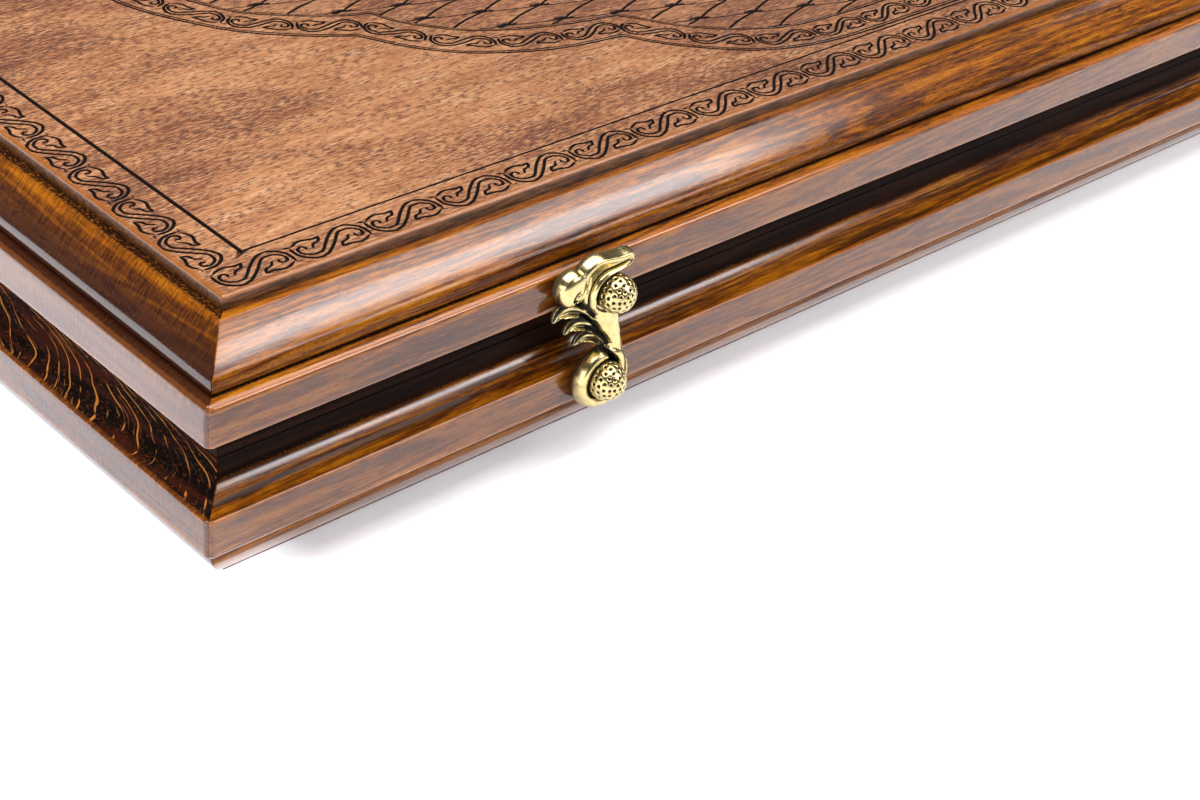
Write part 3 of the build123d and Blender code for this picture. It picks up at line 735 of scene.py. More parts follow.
BARS = [[(-10.0, 2.55), (-8.9, 2.55)], [(9.3, 2.9), (10.5, 2.9)], [(9.5, -2.87), (9.95, -2.87)]]
UNIT = []
for src, w0, w1 in ((S1, 0.47, 0.40), (L_TOP, 0.40, 0.46), (L_LOW, 0.46, 0.34), (L_CURL, 0.36, 0.36)):
    UNIT.append((src, w0, w1))
    UNIT.append(([(-a, -b) for a, b in src], w0, w1))
UNIT_BARS = [(b, 0.40, 0.40) for b in BARS]


def widths(n, w0, w1, taper=True):
    out = []
    for i in range(n):
        t = i / max(1, n - 1)
        w = w0 + (w1 - w0) * t
        if taper:
            e = min(i, n - 1 - i)
            w *= (0.45, 0.8, 1.0)[min(e, 2)]
        out.append(w)
    return out


def groove_mesh(rect, strokes, extra=(), depth=0.55, key=""):
    """Triangles of a flat rectangle with the strokes sunk as V grooves.
    rect x0,y0,x1,y1. A stroke is (points, half widths). Gives verts (x, y, depth share 0-1) and triangles."""
    x0, y0, x1, y1 = rect
    pts, edges, samples = [], [], []

    def add(p):
        pts.append(Vector((p[0], p[1])))
        return len(pts) - 1

    c = [add(q) for q in ((x0, y0), (x1, y0), (x1, y1), (x0, y1))]
    edges += [(c[0], c[1]), (c[1], c[2]), (c[2], c[3]), (c[3], c[0])]
    for line, hw in strokes:
        n = len(line)
        L = np.array(line)
        T = np.gradient(L, axis=0)
        T /= np.maximum(np.linalg.norm(T, axis=1)[:, None], 1e-9)
        N = np.stack([-T[:, 1], T[:, 0]], 1)
        W = np.array(hw)[:, None]
        # nothing further out than a little is needed
        if (L[:, 0].max() < x0 - 1 or L[:, 0].min() > x1 + 1 or L[:, 1].max() < y0 - 1 or L[:, 1].min() > y1 + 1):
            continue
        left, right = L + N * W, L - N * W
        ia = [add(q) for q in left]
        ib = [add(q) for q in right]
        ic = [add(q) for q in L]
        for k in range(n - 1):
            edges += [(ia[k], ia[k + 1]), (ib[k], ib[k + 1]), (ic[k], ic[k + 1])]
        edges += [(ia[0], ib[0]), (ia[-1], ib[-1])]
        for k in range(n - 1):
            m = max(2, int(np.linalg.norm(L[k + 1] - L[k]) / 0.12))
            for t in range(m):
                f = t / m
                samples.append((L[k, 0] + (L[k + 1, 0] - L[k, 0]) * f, L[k, 1] + (L[k + 1, 1] - L[k, 1]) * f,
                                hw[k] + (hw[k + 1] - hw[k]) * f))
        samples.append((L[-1, 0], L[-1, 1], hw[-1]))
    for q in extra:
        add(q)
    v, e, f, *_ = delaunay_2d_cdt(pts, edges, [], 0, 1e-5)
    v = np.array([(q[0], q[1]) for q in v])
    tri = np.array([t for t in f if len(t) == 3], int)
    cen = v[tri].mean(1)
    keep = (cen[:, 0] > x0) & (cen[:, 0] < x1) & (cen[:, 1] > y0) & (cen[:, 1] < y1)
    tri = tri[keep]
    used = np.unique(tri)
    remap = -np.ones(len(v), int)
    remap[used] = np.arange(len(used))
    v, tri = v[used], remap[tri]
    a = v[tri]
    area = (a[:, 1, 0] - a[:, 0, 0]) * (a[:, 2, 1] - a[:, 0, 1]) - (a[:, 1, 1] - a[:, 0, 1]) * (a[:, 2, 0] - a[:, 0, 0])
    flip = area < 0
    tri[flip] = tri[flip][:, ::-1]
    tri = tri[np.abs(area) > 1e-9]
    share = np.zeros(len(v))
    if samples:
        kd = KDTree(len(samples))
        for i, s in enumerate(samples):
            kd.insert((s[0], s[1], 0.0), i)
        kd.balance()
        for i, q in enumerate(v):
            best = 0.0
            for co, idx, dist in kd.find_n((q[0], q[1], 0.0), 5):
                hw = samples[idx][2]
                if dist < hw - 0.012:
                    best = max(best, (1.0 - dist / hw) * min(1.0, hw / 0.36))
            share[i] = best
    return v, share, tri


def place(unit, fn):
    out = []
    for src, w0, w1 in unit:
        line = smooth_curve([fn(*q) for q in src])
        out.append((line, widths(len(line), w0, w1)))
    return out


SPLIT = 22.5
LO = 12.25 + 0.7
strokes = []
for k in range(29):
    cx = 24.0 + 19.71 * k
    strokes += place(UNIT + UNIT_BARS, lambda u, w: (cx + u, 18.1 + w))
front_strip = groove_mesh((LO, LO, 600 - LO, SPLIT), strokes,
                          extra=[(SPLIT, SPLIT), (300.0, SPLIT), (600 - SPLIT, SPLIT)])
strokes = []
PITCH_Y = 17.0
ky = PITCH_Y / 19.71
for k in range(15):
    cy = SPLIT + PITCH_Y * (k + 0.5)
    strokes += place(UNIT + (UNIT_BARS if k < 14 else UNIT_BARS[:1]), lambda u, w: (17.35 - w * 1.02, cy + u * ky))
left_strip = groove_mesh((LO, SPLIT, SPLIT, 300 - SPLIT), strokes, extra=[(SPLIT, 150.0)])

# the middle, one quarter: inner line, medallion outline, scroll band and lattice
A_OUT = [(70.3, 150), (71.1, 141.4), (74.3, 131.4), (81.4, 118.6), (88.6, 109.3), (100, 100), (110, 94)]
B_OUT = [(110, 94), (117.1, 82.1), (127.1, 72.1), (140, 65), (151.4, 61.1), (167.1, 58.6)]
C_OUT = [(167.1, 58.6), (172.9, 50), (181.4, 41.4), (191.4, 33.9), (201.4, 29.9), (211.4, 27.7), (224.3, 26.7), (245, 26.5), (300, 26.5)]
A_IN = [(82.6, 150), (83.6, 141), (87.1, 131.4), (92.9, 120.7), (102.9, 112.1), (114.3, 105), (120.7, 102.9)]
B_IN = [(120.7, 102.9), (124.3, 94.3), (134.3, 82.9), (145.7, 76.4), (160, 71.4), (174.3, 68.6)]
C_IN = [(174.3, 68.6), (178.6, 62.9), (185.7, 53.6), (195.7, 45.7), (210, 39.5), (231.4, 37.4), (250, 37.3), (300, 37.3)]


def resample(line, n):
    L = np.array(line, float)
    s = np.concatenate([[0], np.cumsum(np.linalg.norm(np.diff(L, axis=0), axis=1))])
    t = np.linspace(0, s[-1], n)
    return np.stack([np.interp(t, s, L[:, 0]), np.interp(t, s, L[:, 1])], 1), s[-1]


def offset(line, d):
    L = np.array(line, float)
    T = np.gradient(L, axis=0)
    T /= np.maximum(np.linalg.norm(T, axis=1)[:, None], 1e-9)
    return [tuple(q) for q in L + np.stack([-T[:, 1], T[:, 0]], 1) * d]


strokes = []


def line_stroke(pts, w, step=1.6, taper=False):
    line = smooth_curve(pts, step)
    strokes.append((line, widths(len(line), w, w, taper)))


# inner frame line: broad on the short side, fine on the long side
line_stroke([(25.85, 24.72), (25.85, 25.6)], 0.58, 0.3)
line_stroke([(25.85, 25.6), (25.85, 152.0)], 0.58, 3.0)
line_stroke([(25.45, 25.05), (302.0, 25.05)], 0.36, 3.0)
for o, i, units in ((A_OUT, A_IN, 4), (B_OUT, B_IN, 4), (C_OUT, C_IN, 8)):
    oo, ii = smooth_curve(o, 1.0), smooth_curve(i, 1.0)
    strokes.append((oo, widths(len(oo), 0.42, 0.42, False)))
    o2 = offset(oo, -0.95)
    if np.linalg.norm(np.array(o2[5]) - np.array(ii[5])) > np.linalg.norm(np.array(oo[5]) - np.array(ii[5])):
        o2 = offset(oo, 0.95)
    strokes.append((o2, widths(len(o2), 0.32, 0.32, False)))
    strokes.append((ii, widths(len(ii), 0.40, 0.40, False)))
    i2 = offset(ii, -0.95)
    if np.linalg.norm(np.array(i2[5]) - np.array(oo[5])) < np.linalg.norm(np.array(ii[5]) - np.array(oo[5])):
        i2 = offset(ii, 0.95)
    strokes.append((i2, widths(len(i2), 0.30, 0.30, False)))
    oa, _ = resample(oo, 400)
    ia, _ = resample(ii, 400)
    mid, length = resample((oa + ia) / 2, 2000)
    T = np.gradient(mid, axis=0)
    T /= np.maximum(np.linalg.norm(T, axis=1)[:, None], 1e-9)
    N = np.stack([-T[:, 1], T[:, 0]], 1)
    if np.dot(N[1000], (ia - oa)[200]) < 0:
        N = -N
    pitch = length / units

    def on_band(u, w, k=0):
        s = min(max((k + 0.5) * pitch + u * pitch / 19.71, -3.0), length + 3.0)
        f = min(max(s / length, 0.0), 1.0) * 1999
        a = int(min(f, 1998))
        g = f - a
        c = mid[a] * (1 - g) + mid[a + 1] * g
        n = N[a]
        over = s - min(max(s, 0.0), length)
        q = c + n * w * 0.80 + T[a] * over
        return (q[0], q[1])

    for k in range(units):
        unit = list(UNIT)
        if 0 < k < units - 1:
            unit = unit + UNIT_BARS
        strokes += place(unit, lambda u, w: on_band(u, w, k))

INNER = [tuple(q) for q in smooth_curve(A_IN, 1.0)] + [tuple(q) for q in smooth_curve(B_IN, 1.0)][1:] + [tuple(q) for q in smooth_curve(C_IN, 1.0)][1:]
POLY = np.array(INNER + [(300, 150)])


def inside_field(q, margin=0.0):
    x, y = q
    P = POLY
    x1, y1 = P[:, 0], P[:, 1]
    x2, y2 = np.roll(x1, -1), np.roll(y1, -1)
    cond = (y1 > y) != (y2 > y)
    with np.errstate(divide="ignore", invalid="ignore"):
        xi = (x2 - x1) * (y - y1) / (y2 - y1) + x1
    ins = bool(np.sum(cond & (x < xi)) % 2)
    return ins


IN_L = np.array(INNER)


def edge_dist(q):
    return float(np.min(np.hypot(IN_L[:, 0] - q[0], IN_L[:, 1] - q[1])))


def in_lattice(q, m=1.3):
    a = (min(q[0], 299.99), min(q[1], 149.99))
    return inside_field(a) and edge_dist(a) > m


LX, LY = 15.35, 9.4


def clip_run(line):
    """The stretch of the line that lies in the field."""
    runs, cur = [], []
    for q in line:
        if in_lattice(q):
            cur.append(q)
        else:
            if len(cur) > 2:
                runs.append(cur)
            cur = []
    if len(cur) > 2:
        runs.append(cur)
    return runs


nodes_at = []
for k in range(0, 16):
    for m in range(0, 15):
        x = 300 - LX * k
        y = 150 - LY * m - (LY / 2 if k % 2 == 0 else 0)
        nodes_at.append((x, y, k, m))
for x, y, k, m in nodes_at + [(300 + LX, 150 - LY * m, 1, m) for m in range(0, 15)]:
    for sy in (-1, 1):
        # lines bow a little between the nodes
        x2, y2 = x - LX, y + sy * LY / 2
        if y2 > 150 + 6 or x2 < 60:
            continue
        n = 10
        line = []
        for t in range(n + 1):
            f = t / n
            bow = 0.55 * math.sin(math.pi * f) * (1 if sy > 0 else -1)
            dx, dy = -LX, sy * LY / 2
            ln = math.hypot(dx, dy)
            line.append((x + dx * f - dy / ln * bow, y + dy * f + dx / ln * bow))
        for run in clip_run(line):
            strokes.append((run, widths(len(run), 0.37, 0.37, False)))
for x, y, k, m in nodes_at:
    if in_lattice((x, y), 2.2) and y <= 150.5:
        b = smooth_curve([(x - 1.5, y + 0.30), (x, y + 0.02), (x + 1.5, y - 0.32)], 0.5)
        strokes.append((b, widths(len(b), 1.40, 1.40)))

puffs = []
for k in range(0, 16):
    for m in range(-1, 15):
        # cell centres lie half a step from the nodes
        x = 300 - LX * k
        y = 150 - LY * m - (0 if k % 2 == 0 else LY / 2)
        for ring, cnt in ((0.0, 1), (0.28, 6), (0.55, 10), (0.80, 14)):
            for j in range(cnt):
                a = 2 * math.pi * (j + 0.5 * (ring * 10 % 2 > 1)) / cnt
                ca, sa = math.cos(a), math.sin(a)
                r = ring / (abs(ca) / LX + abs(sa) / (LY / 2))
                q = (x + ca * r, y + sa * r)
                if 60 < q[0] < 299.9 and 26 < q[1] < 149.9 and in_lattice(q, 2.0):
                    puffs.append(q)
quarter = groove_mesh((SPLIT, SPLIT, 300.0, 150.0), strokes, extra=puffs)


def puff(q):
    """0 at the lattice lines, 1 in the middle of a cell."""
    a = (300 - q[0]) / LX
    b = (150 - q[1]) / LY
    # cell centres: (k even, m) or (k odd, m + 1/2)
    s = (a / 2 + b) % 1.0
    t = (a / 2 - b) % 1.0
    return (math.sin(math.pi * ((s + 0.5) % 1.0)) ** 2 * math.sin(math.pi * ((t + 0.5) % 1.0)) ** 2) ** 0.35


GROOVE = 0.60
verts, burns, fields, tris = [], [], [], []


def add_part(part, fn, flip, sink=False):
    v, share, tri = part
    base = len(verts)
    for i, q in enumerate(v):
        fx, fy = fn(q[0], q[1])
        z = -GROOVE * share[i]
        fld = 0.0
        if sink and inside_field((min(q[0], 299.99), min(q[1], 149.99))):
            d = edge_dist(q)
            fld = min(1.0, d / 1.6)
            z -= 0.34 * fld * (1.0 - puff(q))
        verts.append((fx, fy, z))
        burns.append(share[i])
        fields.append(fld)
    for t in tri:
        t = tuple(int(a) + base for a in t)
        tris.append(t[::-1] if flip else t)


add_part(front_strip, lambda x, y: (x, y), False)
add_part(front_strip, lambda x, y: (600 - x, 300 - y), False)
add_part(left_strip, lambda x, y: (x, y), False)
add_part(left_strip, lambda x, y: (600 - x, 300 - y), False)
add_part(quarter, lambda x, y: (x, y), False, True)
add_part(quarter, lambda x, y: (600 - x, 300 - y), False, True)
add_part(quarter, lambda x, y: (600 - x, y), True, True)
add_part(quarter, lambda x, y: (x, 300 - y), True, True)

# weld the parts
V = np.array(verts)
keys = np.round(V / 0.004).astype(np.int64)
_, first, inv = np.unique(keys, axis=0, return_index=True, return_inverse=True)
inv = inv.ravel()
V = V[first]
B = np.array(burns)[first]
F = np.array(fields)[first]
T3 = inv[np.array(tris)]
ok = (T3[:, 0] != T3[:, 1]) & (T3[:, 1] != T3[:, 2]) & (T3[:, 0] != T3[:, 2])
T3 = T3[ok]

# rounded rim, sides and back of the panel
rim_v, rim_f, rim_side = [], [], []
n0 = len(V)
LOOP = []
for cx, cy, a0 in ((LO, LO, 180), (600 - LO, LO, 270), (600 - LO, 300 - LO, 0), (LO, 300 - LO, 90)):
    for j in range(5):
        a = math.radians(a0 + 90 * j / 4)
        LOOP.append((cx, cy, math.cos(a), math.sin(a)))
R0 = 0.7
rings = [(R0 * math.sin(math.radians(t)), -R0 * (1 - math.cos(math.radians(t))), 0.0 if t < 70 else (0.3 if t < 80 else 0.8)) for t in (0, 15, 30, 45, 60, 75, 90)]
rings += [(R0, -0.95, 1.0), (R0, -1.5, 1.0), (R0, -7.9, 1.0)]
for out_, z, sd in rings:
    for cx, cy, ca, sa in LOOP:
        rim_v.append((cx + ca * out_, cy + sa * out_, z))
        rim_side.append(sd)
m = len(LOOP)
for r in range(len(rings) - 1):
    for j in range(m):
        a, b = r * m + j, r * m + (j + 1) % m
        rim_f.append((n0 + a, n0 + b, n0 + b + m, n0 + a + m))
back = tuple(n0 + (len(rings) - 1) * m + j for j in range(m))
V_all = np.concatenate([V, np.array(rim_v)])
B_all = np.concatenate([B, np.zeros(len(rim_v))])
F_all = np.concatenate([F, np.zeros(len(rim_v))])
S_all = np.concatenate([np.zeros(len(V)), np.array(rim_side)])
P_FACES = [tuple(int(a) for a in t) for t in T3] + [tuple(reversed(f)) for f in rim_f] + [back[::-1]]


def panel(side, mat):
    x = V_all[:, 0] - 300
    y = V_all[:, 1] - 150
    if side == "lid":
        v = np.stack([x, y, 70.0 + V_all[:, 2]], 1)
    else:
        v = np.stack([x, -y, -V_all[:, 2]], 1)
    return solid(side + "_carved_panel_body", v, P_FACES, side, [mat], {"burn": B_all, "field": F_all, "side": S_all},
                 sharp=24, replaces=(side + "_carved_panel",))


lid_panel = panel("lid", panel_wood("panel_wood_lid", (0.0, 0.0, 0.0)))
base_panel = panel("base", panel_wood("panel_wood_base", (411.0, 93.0, 57.0)))


# ------------------------------------------------------------------ latch: stud with a pitted head
def stud(name, body, xc, zc, mat):
    R, C, floor = 4.8, 5.4, 4.0
    seg = 132
    pits = [(0.0, 0.0)]
    for i, (th, cnt) in enumerate(((18, 6), (35, 11), (52, 14), (69, 16), (86, 17))):
        for j in range(cnt):
            pits.append((th + 1.5 * math.sin(j * 2.3), 360.0 * (j + 0.5 * (i % 2)) / cnt))
    pd = np.array([(math.sin(math.radians(t)) * math.cos(math.radians(a)), math.sin(math.radians(t)) * math.sin(math.radians(a)),
                    math.cos(math.radians(t))) for t, a in pits])
    t_max = math.degrees(math.acos((floor - C) / R))
    rings = [t_max * i / 78 for i in range(1, 79)]
    pts = [(0.0, 0.0, 1.0)]
    for t in rings:
        for s in range(seg):
            a = 2 * math.pi * s / seg
            pts.append((math.sin(math.radians(t)) * math.cos(a), math.sin(math.radians(t)) * math.sin(a), math.cos(math.radians(t))))
    P = np.array(pts)
    ang = np.degrees(np.arccos(np.clip(P @ pd.T, -1, 1)))
    near = ang.min(1)
    rad = 6.3
    dent = np.clip(1 - (near / rad) ** 2, 0, 1) ** 1.3
    radius = (R - 0.02) - 0.46 * dent
    Q = P * radius[:, None]
    Q[:, 2] += C
    pat = np.clip(dent * 1.6, 0, 1)
    pat = np.maximum(pat, np.clip((np.degrees(np.arccos(P[:, 2])) - 84) / 22, 0, 1) * 0.9)
    low = [(4.50, floor), (2.6, floor), (2.5, floor - 0.1), (2.5, 0.75), (2.6, 0.66), (3.75, 0.65), (3.98, 0.5), (4.0, 0.0),
           (1.6, 0.0), (1.6, -8.4), (0.4, -9.0)]
    extra = []
    for r, p in low:
        for s in range(seg):
            a = 2 * math.pi * s / seg
            extra.append((r * math.cos(a), r * math.sin(a), p))
    n1 = len(Q)
    Q = np.concatenate([Q, np.array(extra)])
    pat = np.concatenate([pat, np.full(len(extra), 0.8)])
    faces = [(0, 1 + (s + 1) % seg, 1 + s) for s in range(seg)]
    total = len(rings) + len(low)
    for r in range(total - 1):
        b0, b1 = 1 + r * seg, 1 + (r + 1) * seg
        for s in range(seg):
            t = (s + 1) % seg
            faces.append((b0 + s, b0 + t, b1 + t, b1 + s))
    e = 1 + (total - 1) * seg
    faces.append(tuple(e + s for s in range(seg)))
    v = np.stack([xc + Q[:, 0], -HY - Q[:, 2], zc + Q[:, 1]], 1)
    return solid(name + "_body", v, outward(v, faces), body, [mat], {"pat": pat}, sharp=50, replaces=(name,))


# ------------------------------------------------------------------ latch: the cast hook
def seg_dist(U, W, line):
    """Distance to a polyline, share along it, and side (left positive)."""
    best = np.full(U.shape, 1e9)
    along = np.zeros(U.shape)
    sidev = np.zeros(U.shape)
    L = np.array(line, float)
    total = np.concatenate([[0], np.cumsum(np.linalg.norm(np.diff(L, axis=0), axis=1))])
    for i in range(len(L) - 1):
        a, b = L[i], L[i + 1]
        d = b - a
        t = np.clip(((U - a[0]) * d[0] + (W - a[1]) * d[1]) / max(d @ d, 1e-12), 0, 1)
        px, py = a[0] + d[0] * t, a[1] + d[1] * t
        dist = np.hypot(U - px, W - py)
        cr = d[0] * (W - a[1]) - d[1] * (U - a[0])
        m = dist < best
        best[m] = dist[m]
        along[m] = ((total[i] + t * (total[i + 1] - total[i])) / total[-1])[m]
        sidev[m] = np.sign(cr)[m]
    return best, along, sidev


def poly_sdf(U, W, poly):
    """Positive inside."""
    d, _, _ = seg_dist(U, W, list(poly) + [poly[0]])
    ins = np.zeros(U.shape, bool)
    n = len(poly)
    for i in range(n):
        x1, y1 = poly[i]
        x2, y2 = poly[(i + 1) % n]
        if y1 == y2:
            continue
        cond = (y1 > W) != (y2 > W)
        xi = (x2 - x1) * (W - y1) / (y2 - y1) + x1
        ins ^= cond & (U < xi)
    return np.where(ins, d, -d)


def sstep(v, a, b):
    t = np.clip((v - a) / (b - a), 0, 1)
    return t * t * (3 - 2 * t)


def dome(sd, r):
    """0 at the edge to 1 at r inside it, round like a quarter circle."""
    t = np.clip(sd / r, 0, 1)
    return np.sqrt(np.maximum(0, 1 - (1 - t) ** 2))


def closed_curve(pts, step=0.5):
    return smooth_curve(list(pts) + [pts[0]], step)[:-1]


def blur(A, n):
    for _ in range(n):
        B2 = np.pad(A, 1, mode="edge")
        A = (B2[1:-1, 1:-1] * 4 + B2[:-2, 1:-1] * 2 + B2[2:, 1:-1] * 2 + B2[1:-1, :-2] * 2 + B2[1:-1, 2:] * 2
             + B2[:-2, :-2] + B2[:-2, 2:] + B2[2:, :-2] + B2[2:, 2:]) / 16
    return A


G = 0.14
UX = np.arange(-19.9, 9.6, G)
WX = np.arange(-9.2, 37.2, G)
U, W = np.meshgrid(UX, WX, indexing="ij")
r_piv = np.hypot(U, W)
r_cat = np.hypot(U, W - 23.8)

neck_poly = closed_curve([(7.6, -1.5), (7.3, 2.4), (6.5, 6.5), (5.3, 10.6), (4.1, 14.6), (3.7, 17.6), (3.2, 20.2), (1.2, 21.2), (-2.4, 21.6),
                          (-4.6, 22.8), (-5.9, 24.6), (-8.7, 25.4), (-8.6, 22.6), (-5.6, 18.2), (-1.9, 12.6), (0.4, 8.6), (2.4, 5.2), (4.0, 0.0)], 0.5)
leaf_poly = closed_curve([(-8.2, 22.0), (-9.2, 25.4), (-10.6, 28.6), (-10.8, 31.4), (-9.4, 33.2), (-7.2, 34.3), (-5.0, 34.6), (-1.9, 34.1),
                          (0.9, 33.7), (3.4, 33.6), (4.9, 33.2), (5.2, 31.6), (4.5, 30.2), (2.9, 29.4), (0.4, 28.9), (-2.4, 28.5),
                          (-4.7, 27.0), (-5.6, 24.6), (-5.6, 22.2), (-6.2, 20.4), (-7.4, 20.6)], 0.5)
F_neck = poly_sdf(U, W, neck_poly)
F_leaf = poly_sdf(U, W, leaf_poly)
F_ring = 8.1 - r_piv
BUD = (-12.7, 28.4)
r_bud = np.hypot(U - BUD[0], W - BUD[1])
F_bud = 4.4 - r_bud
fronds = [
    ([(-16.3, 20.2), (-14.9, 21.9), (-12.2, 22.1), (-9.4, 21.1), (-6.6, 19.0), (-4.3, 16.6)], [0.3, 1.65, 1.9, 1.7, 1.4, 1.0]),
    ([(-12.4, 15.7), (-11.0, 17.1), (-8.7, 17.2), (-6.2, 16.2), (-3.5, 14.1), (-1.2, 11.2)], [0.3, 1.4, 1.65, 1.5, 1.2, 0.9]),
    ([(-9.0, 11.6), (-7.4, 12.8), (-5.1, 12.7), (-2.6, 11.4), (0.2, 8.8), (2.7, 5.2)], [0.3, 1.35, 1.55, 1.35, 1.05, 0.7]),
]
F_fr = []
for line, wid in fronds:
    cl = smooth_curve(line, 0.4)
    d, al, sd = seg_dist(U, W, cl)
    wv = np.interp(al, np.linspace(0, 1, len(wid)), wid)
    F_fr.append((wv - d, d, al, sd, wv))
mask = np.maximum.reduce([F_neck, F_leaf, F_ring, F_bud] + [f[0] for f in F_fr])
# the notch for the catch stud's neck, and the hole for the pivot's
mask = np.minimum(mask, r_cat - 2.95)
mask = np.minimum(mask, r_piv - 2.56)

BACK = 1.0
# level at which the rounded back and front of the casting meet
EDGE = np.full(U.shape, 2.3)
EDGE = np.maximum(EDGE, 2.3 + 1.3 * sstep(F_bud, -0.6, 0.4))
EDGE = np.maximum(EDGE, 2.3 + 1.2 * sstep(F_leaf, -0.4, 0.4) * sstep(W, 24.0, 29.0))
EDGE = np.maximum(EDGE, 2.3 + 0.5 * sstep(F_ring, -0.4, 0.4))
H = np.full(U.shape, BACK + 0.55)
# ring: a fat roll round the pivot head
tube = np.sqrt(np.maximum(0, 1 - ((r_piv - 6.40) / 1.75) ** 2))
ring_h = np.where(r_piv < 8.15, 2.6 + 2.55 * tube, 0)
ring_h = np.where(r_piv < 4.9, 3.3, ring_h)
H = np.maximum(H, np.where(F_ring > 0, ring_h, 0))
# fronds: hollow blades with a raised lower lip
for f, d, al, sd, wv in F_fr:
    inside = f > 0
    cross = np.clip(d / np.maximum(wv, 0.05), 0, 1) * sd    # +1 upper side, -1 lower side
    lip = np.exp(-((cross + 0.66) / 0.22) ** 2)
    belly = np.exp(-((cross - 0.28) / 0.34) ** 2)
    rise = 0.75 + 0.35 * sstep(al, 0.0, 0.5)
    body = 2.45 + rise * (0.25 + 1.55 * lip + 0.75 * belly)
    H = np.maximum(H, np.where(inside, body, 0))
# neck: a strap with soft edges and a line beside the right edge
nk = 2.5 + 1.45 * dome(F_neck, 1.2) + 0.35 * sstep(F_neck, 0.6, 2.8)
H = np.maximum(H, np.where(F_neck > 0, nk, 0))
dl, al, sd = seg_dist(U, W, smooth_curve([(4.3, 11.6), (5.3, 8.2), (6.0, 4.6), (6.45, 0.8), (6.3, -1.6)], 0.4))
cut = np.exp(-(dl / 0.27) ** 2) * sstep(al, 0.0, 0.2) * 1.5
# leaf: a swelling tongue, its lower edge with a dark line
lip_line = smooth_curve([(5.0, 30.6), (3.0, 29.7), (0.4, 29.2), (-2.5, 28.8), (-4.9, 27.3), (-5.9, 24.9), (-5.9, 22.2), (-6.3, 20.8)], 0.4)
low_edge = smooth_curve([(4.7, 31.9), (2.9, 31.0), (0.4, 30.5), (-3.1, 30.1), (-6.0, 28.3), (-7.3, 25.6), (-7.3, 22.8), (-6.9, 20.8)], 0.4)
lipd, _, _ = seg_dist(U, W, lip_line)
dl2, al2, _ = seg_dist(U, W, low_edge)
top_d, _, _ = seg_dist(U, W, smooth_curve([(-9.9, 29.5), (-8.6, 32.0), (-5.4, 33.4), (-1.8, 32.9), (1.4, 32.5), (4.6, 32.4)], 0.4))
lf = 3.7 + 0.75 * dome(F_leaf, 1.0) + 1.05 * np.exp(-(lipd / 1.0) ** 2) + 0.95 * np.exp(-(top_d / 1.5) ** 2)
H = np.maximum(H, np.where(F_leaf > 0, lf, 0))
cut = np.maximum(cut, np.exp(-(dl2 / 0.30) ** 2) * 1.3 * sstep(al2, 0.0, 0.10))
# bud: a flattened ball with a curl
bd = 3.6 + 2.5 * np.sqrt(np.maximum(0, 1 - (r_bud / 4.45) ** 2.6))
H = np.where(F_bud > 0, np.maximum(H, bd), H)
cc = (BUD[0] + 0.7, BUD[1] - 1.6)
curl = [(cc[0] + 1.3 * math.cos(math.radians(t)), cc[1] + 1.3 * math.sin(math.radians(t))) for t in range(95, 371, 15)]
curl += [(cc[0] + 1.55, cc[1] + 1.3), (cc[0] + 2.1, cc[1] + 2.6)]
dc, ac, _ = seg_dist(U, W, curl)
cut = np.maximum(cut, np.exp(-(dc / 0.34) ** 2) * 1.5)
# hollows between the bud and the leaf, the ring and the third frond, and between the fronds
db, _, _ = seg_dist(U, W, [(-8.3, 30.0), (-8.25, 28.8), (-8.3, 27.0), (-9.2, 25.0), (-12.2, 23.8)])
cut = np.maximum(cut, np.exp(-(db / 0.34) ** 2) * 0.9)
d3, _, _ = seg_dist(U, W, smooth_curve([(-4.2, 9.6), (-1.4, 8.6), (1.2, 6.4), (3.2, 3.6)], 0.4))
cut = np.maximum(cut, np.exp(-(d3 / 0.60) ** 2) * 2.2)
for line in ([(-12.2, 24.4), (-9.4, 23.2), (-6.4, 20.6), (-4.4, 18.2)], [(-11.6, 19.4), (-9.0, 19.4), (-6.2, 18.0), (-3.4, 15.0), (-2.2, 13.2)],
             [(-8.2, 15.0), (-5.6, 15.1), (-2.8, 13.6), (-0.4, 11.0), (1.0, 8.8)]):
    dq, aq, _ = seg_dist(U, W, smooth_curve(line, 0.4))
    cut = np.maximum(cut, np.exp(-(dq / 0.50) ** 2) * 1.5)
H = H - cut
# the seat of the catch stud's head stays low
H = np.where(r_cat < 5.25, np.minimum(H, 3.45), H)
swing = (r_piv > 18.6) & (r_piv < 29.0) & (U > -1.0) & (W < 28.2)
H = np.where(swing, np.minimum(H, 3.45), H)
H = np.maximum(H, BACK + 0.6)
H = np.maximum(EDGE + (H - EDGE) * dome(mask, 0.7), BACK + 0.5)
H = blur(H, 1)
K = EDGE - (EDGE - BACK) * dome(mask, 1.3)
K = np.minimum(K, H - 0.25)
cavity = blur(H, 16) - H
PAT = np.clip(0.05 + cavity * 1.5, 0, 1)
PAT = np.maximum(PAT, np.clip(cut * 1.0, 0, 1))
PAT = np.maximum(PAT, np.where((r_piv < 4.95), 0.95, 0))
for (f, d, al, sd, wv) in F_fr:
    cross = np.clip(d / np.maximum(wv, 0.05), 0, 1) * sd
    only = (f > 0) & (F_neck < 0) & (F_bud < 0) & (F_ring < 0)
    PAT = np.where(only, np.maximum(PAT, 0.80 * sstep(cross, -0.46, -0.20) * (1 - 0.75 * np.exp(-((cross - 0.28) / 0.2) ** 2))), PAT)


